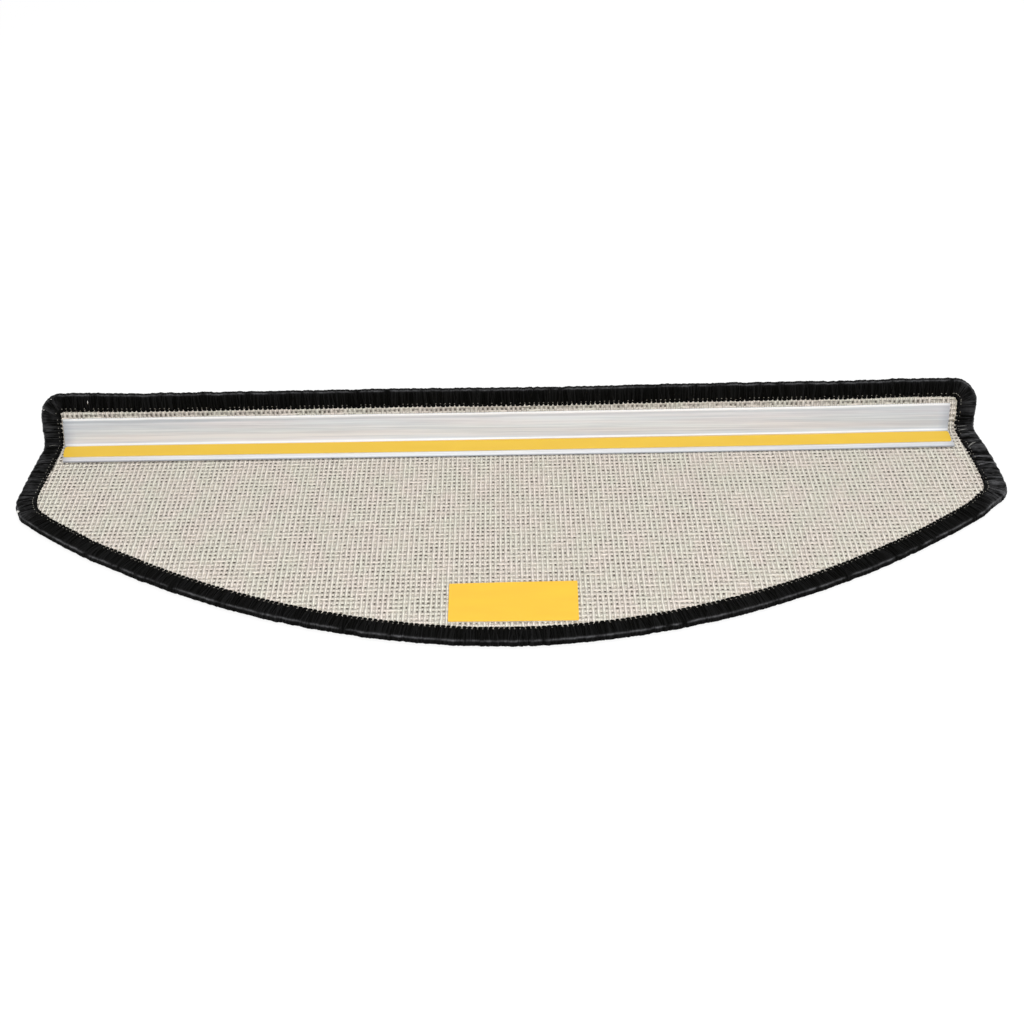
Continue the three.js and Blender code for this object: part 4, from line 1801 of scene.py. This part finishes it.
@dataclass
class LooseEnds:
    """Slack threads in the creases beside the fold, and bits of lint on the yarn."""

    fold: FoldGroup
    level: float = 6.05 * MM
    lift: float = 0.5 * MM
    thin_end: float = 0.25
    steps: int = 8
    sides: int = 6
    threads: tuple[LooseThread, ...] = (
        LooseThread((0.3085, 0.2090), (0.3152, 0.2099), 0.45 * MM, 0.5 * MM),
        LooseThread((0.3086, 0.2040), (0.3150, 0.2062), 0.5 * MM, -0.5 * MM),
        LooseThread((0.3105, 0.1832), (0.3172, 0.1891), 0.5 * MM, 0.4 * MM),
        LooseThread((-0.3175, 0.2051), (-0.3112, 0.2060), 0.3 * MM, 0.3 * MM),
    )
    lint: tuple[LooseThread, ...] = (
        LooseThread((-0.3196, 0.1288), (-0.3184, 0.1306), 0.8 * MM, 0.1 * MM),
        LooseThread((-0.3180, 0.2340), (-0.3170, 0.2346), 0.25 * MM, 0.1 * MM),
        LooseThread((-0.3118, 0.2421), (-0.3111, 0.2418), 0.28 * MM, 0.0),
        LooseThread((-0.2870, 0.2405), (-0.2871, 0.2380), 0.26 * MM, 0.2 * MM),
    )

    def _rings(self, thread: LooseThread) -> list[list[tuple[float, float, float]]]:
        """Makes the rings of a tube with thin ends.

        Args:
            thread: The thread.

        Returns:
            The rings, from its start to its end.
        """
        start, end = Vector(thread.start), Vector(thread.end)
        along = (end - start).normalized()
        side = Vector((-along.y, along.x))
        turns = [2 * math.pi * corner / self.sides for corner in range(self.sides)]
        rings = []
        for step in range(self.steps + 1):
            arch = math.sin(math.pi * step / self.steps)
            spot = start.lerp(end, step / self.steps) + side * thread.bow * arch
            radius = thread.radius * (self.thin_end + (1 - self.thin_end) * arch)
            middle = self.level + self.lift * arch
            places = [spot + side * radius * math.cos(turn) for turn in turns]
            rings.append([
                (p.x, p.y, middle + radius * math.sin(turn)) for p, turn in zip(places, turns)])
        return rings

    def _piece(self, name: str, threads: Sequence[LooseThread],
               material: bpy.types.Material) -> bpy.types.Object:
        """Lays threads on the yarn.

        Args:
            name: The finished piece's name.
            threads: The threads.
            material: Their material.

        Returns:
            All of them as one piece.
        """
        points, faces = [], []
        for thread in threads:
            tube_points, tube_faces = swept(self._rings(thread))
            faces += [tuple(corner + len(points) for corner in face) for face in tube_faces]
            points += tube_points
        return self.fold.folded(name, mesh_of(name, points, faces), material)

    def build(self) -> list[bpy.types.Object]:
        """Builds the threads and the lint."""
        return [self._piece("slack_threads", self.threads, PALE_THREAD.material()),
                self._piece("lint_bits", self.lint, LINT.material())]


@dataclass(frozen=True)
class EndCurl:
    """How the angle and its tape ride up near their ends, where the carpet bends less sharply."""

    left: float = 0.8 * MM
    left_reach: float = 0.17
    right: float = 0.7 * MM
    right_reach: float = 0.06
    half_length: float = 0.3

    def lift(self, x: float) -> float:
        """Gives the lift at one place along the angle."""
        left = math.exp(-((x + self.half_length) / self.left_reach) ** 2)
        return self.left * left + self.right * math.exp(-((x - self.half_length) / self.right_reach) ** 2)


@dataclass
class PlasticAngle:
    """The milky angle that lies in the fold and hooks over the stair's edge."""

    pattern: MatPattern
    curl: EndCurl
    node: str = "angle_profile"
    tread_leg: float = 20.5 * MM
    lip_leg: float = 19.5 * MM
    wall: float = 1.2 * MM
    fillet: float = 2.1 * MM
    edge_radius: float = 0.3 * MM
    stations: int = 72
    # How far the lip leg's top waves, and how fast its long and its short waves run along it
    wave: float = 0.18 * MM
    long_wave: float = 52.0
    short_wave: float = 131.0
    short_share: float = 0.6
    short_start: float = 1.0
    # How far the left end is cut back at the tread leg's front, at the heel and at the lip leg's top
    cut_at_front: float = 3.8 * MM
    cut_at_heel: float = 0.8 * MM
    cut_at_top: float = 1.6 * MM

    def _section(self) -> list[Vector]:
        """Draws the section, with forward as x and up as y.

        Returns:
            Its points, from the heel, where the outer faces meet.
        """
        lean = self.pattern.lip_lean
        up = Vector((-math.sin(lean), math.cos(lean))) * self.lip_leg
        ahead = Vector((math.cos(lean), math.sin(lean))) * self.wall
        inner = Vector((self.wall * (1 - math.sin(lean)) / math.cos(lean), self.wall))
        return rounded([
            (Vector((0, 0)), self.fillet + self.wall), (up, self.edge_radius),
            (up + ahead, self.edge_radius), (inner, self.fillet),
            (Vector((self.tread_leg, self.wall)), self.edge_radius),
            (Vector((self.tread_leg, 0)), self.edge_radius)], 5)

    def _cut(self, spot: Vector) -> float:
        """Gives how far the left end is cut back.

        Args:
            spot: A point of the section.

        Returns:
            The cut at that point.
        """
        if spot.x > 0 and spot.y < self.fillet + self.wall:
            return self.cut_at_heel + (self.cut_at_front - self.cut_at_heel) * spot.x / self.tread_leg
        return self.cut_at_heel + (self.cut_at_top - self.cut_at_heel) * spot.y / self.lip_leg

    def build(self) -> bpy.types.Object:
        """Draws the section along the angle, with the slight waves of a thin extrusion.

        Returns:
            The angle.
        """
        low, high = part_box(self.node)
        lean, section = self.pattern.lip_lean, self._section()
        rings = []
        for station in range(self.stations + 1):
            ring = []
            for spot in section:
                left = low.x + self._cut(spot)
                x = left + (high.x - left) * station / self.stations
                waves = math.sin(x * self.long_wave) + self.short_share * math.sin(
                    x * self.short_wave + self.short_start)
                bend = self.wave * max(spot.y - self.fillet, 0.0) / self.lip_leg * waves
                y = low.y + self.tread_leg - spot.x + bend * math.cos(lean)
                ring.append((x, y, low.z + spot.y - bend * math.sin(lean) + self.curl.lift(x)))
            rings.append(ring)
        mesh = mesh_of("milky_angle", *swept(rings))
        steps = [(ahead - spot).length / MM for spot, ahead in zip(section, section[1:])]
        keep_values(mesh, "girth", [0.0, *accumulate(steps)] * len(rings))
        mesh.materials.append(MILKY_PLASTIC.material())
        mesh.shade_smooth()
        return seat(object_of("milky_angle", mesh), self.node)


@dataclass(frozen=True)
class CornerCut:
    """How one corner of a strip leaves the square: moved in by x and y, and rounded."""

    x: float
    y: float
    radius: float


@dataclass
class TapeStrip:
    """Double-sided tape under its release film, cut by hand."""

    name: str
    cuts: tuple[CornerCut, CornerCut, CornerCut, CornerCut]
    film: bpy.types.Material
    glue: bpy.types.Material
    columns: int
    curl: EndCurl | None = None
    wave: float = 0.05 * MM
    glue_inset: float = 0.12 * MM
    # How fast the waves run along the strip and across it, and where they start
    wave_rates: tuple[float, float, float] = (61.0, 23.0, 200.0)
    wave_start: float = 2.0
    # How far in from both long edges the strip has rows of points
    edge_rows: tuple[float, ...] = (0.03 * MM, 0.3 * MM, 0.8 * MM, 1.6 * MM)

    def _lift(self, x: float, y: float) -> float:
        """Gives how far the strip is raised at one place, by its slight waves and by the curl.

        Args:
            x: The place along the strip.
            y: The place across it.

        Returns:
            The rise.
        """
        first, second, across = self.wave_rates
        wave = self.wave * math.sin(x * first + self.wave_start) * math.sin(x * second + y * across)
        return wave + (self.curl.lift(x) if self.curl else 0.0)

    def _layer(self, layer: str, slot: str, inset: float,
               material: bpy.types.Material) -> bpy.types.Object:
        """Makes one layer of the strip.

        Args:
            layer: The layer's name.
            slot: The end of the name of the frame's node that it replaces.
            inset: How far its edge is moved in.
            material: Its material.

        Returns:
            The layer.
        """
        name, node = f"{self.name}_{layer}", f"{self.name}_{slot}"
        low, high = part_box(node)
        places = [
            (low.x, low.y, 1, 1), (high.x, low.y, -1, 1), (high.x, high.y, -1, -1),
            (low.x, high.y, 1, -1)]
        loop = rounded([
            (Vector((x + (cut.x + inset) * in_x, y + (cut.y + inset) * in_y)), cut.radius)
            for (x, y, in_x, in_y), cut in zip(places, self.cuts)])
        first, last = min(p.y for p in loop), max(p.y for p in loop)
        rows = [*(first + t for t in self.edge_rows), (first + last) / 2,
                *(last - t for t in reversed(self.edge_rows))]
        mesh = sheet_mesh(name, loop, rows, self.columns, low.z, high.z, self._lift)
        mesh.materials.append(material)
        return seat(object_of(name, mesh), node)

    def build(self) -> None:
        """Builds the film and the adhesive under it."""
        self._layer("liner", "release_liner", 0.0, self.film)
        self._layer("glue", "adhesive", self.glue_inset, self.glue)


class StairTreadMat:
    """The whole mat, put together in the order in which it is made."""

    def build(self) -> None:
        """Builds each sub-assembly, lets its pieces ride on the mat's body and hides the frame's nodes
        that they replace.
        """
        pattern = MatPattern()
        fold = FoldGroup(pattern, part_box("edge_binding")[0].y)
        overlocked = OverlockedEdge(pattern, fold)
        backing = WovenBacking(pattern, fold, overlocked.inner_loop()).build()
        pile = LoopPile(pattern, fold).build()
        wraps, stitches, specks = overlocked.build()
        for piece in backing:
            seat(piece, "carpet_mat")
        seat(pile, "carpet_mat")
        for piece in (wraps, stitches):
            seat(piece, "edge_binding")
        for piece in (specks, *LooseEnds(fold).build()):
            seat(piece)
        pattern.area
        curl = EndCurl()
        PlasticAngle(pattern, curl).build()
        glue = FOAM_TAPE.material()
        TapeStrip("tape", (
            CornerCut(2.2 * MM, 0.0, 1.5 * MM), CornerCut(0.0, 0.0, 2.0 * MM),
            CornerCut(-0.6 * MM, -0.3 * MM, 2.5 * MM), CornerCut(0.2 * MM, -0.4 * MM, 2.5 * MM),
        ), TAPE_FILM.material(), glue, 160, curl).build()
        TapeStrip("patch", (
            CornerCut(0.0, 0.0, 0.6 * MM), CornerCut(1.2 * MM, -0.5 * MM, 0.8 * MM),
            CornerCut(0.6 * MM, -0.6 * MM, 0.6 * MM), CornerCut(0.0, 0.0, 0.6 * MM),
        ), PATCH_FILM.material(), glue, 40).build()


def report_pieces() -> None:
    """Logs each shown piece with its number of triangles."""
    for piece in bpy.context.scene.objects:
        if piece.type == "MESH" and not piece.hide_render:
            triangles = sum(len(polygon.vertices) - 2 for polygon in piece.data.polygons)
            LOG.info("%s: %d triangles", piece.name, triangles)


def main() -> None:
    """Builds the camera, the studio and the mat."""
    logging.basicConfig(level=logging.INFO, format="%(name)s: %(message)s")
    bpy.context.scene.view_settings.view_transform = "Standard"
    PhotoCamera().build()
    Studio().build()
    StairTreadMat().build()
    report_pieces()


if __name__ == "__main__":
    main()
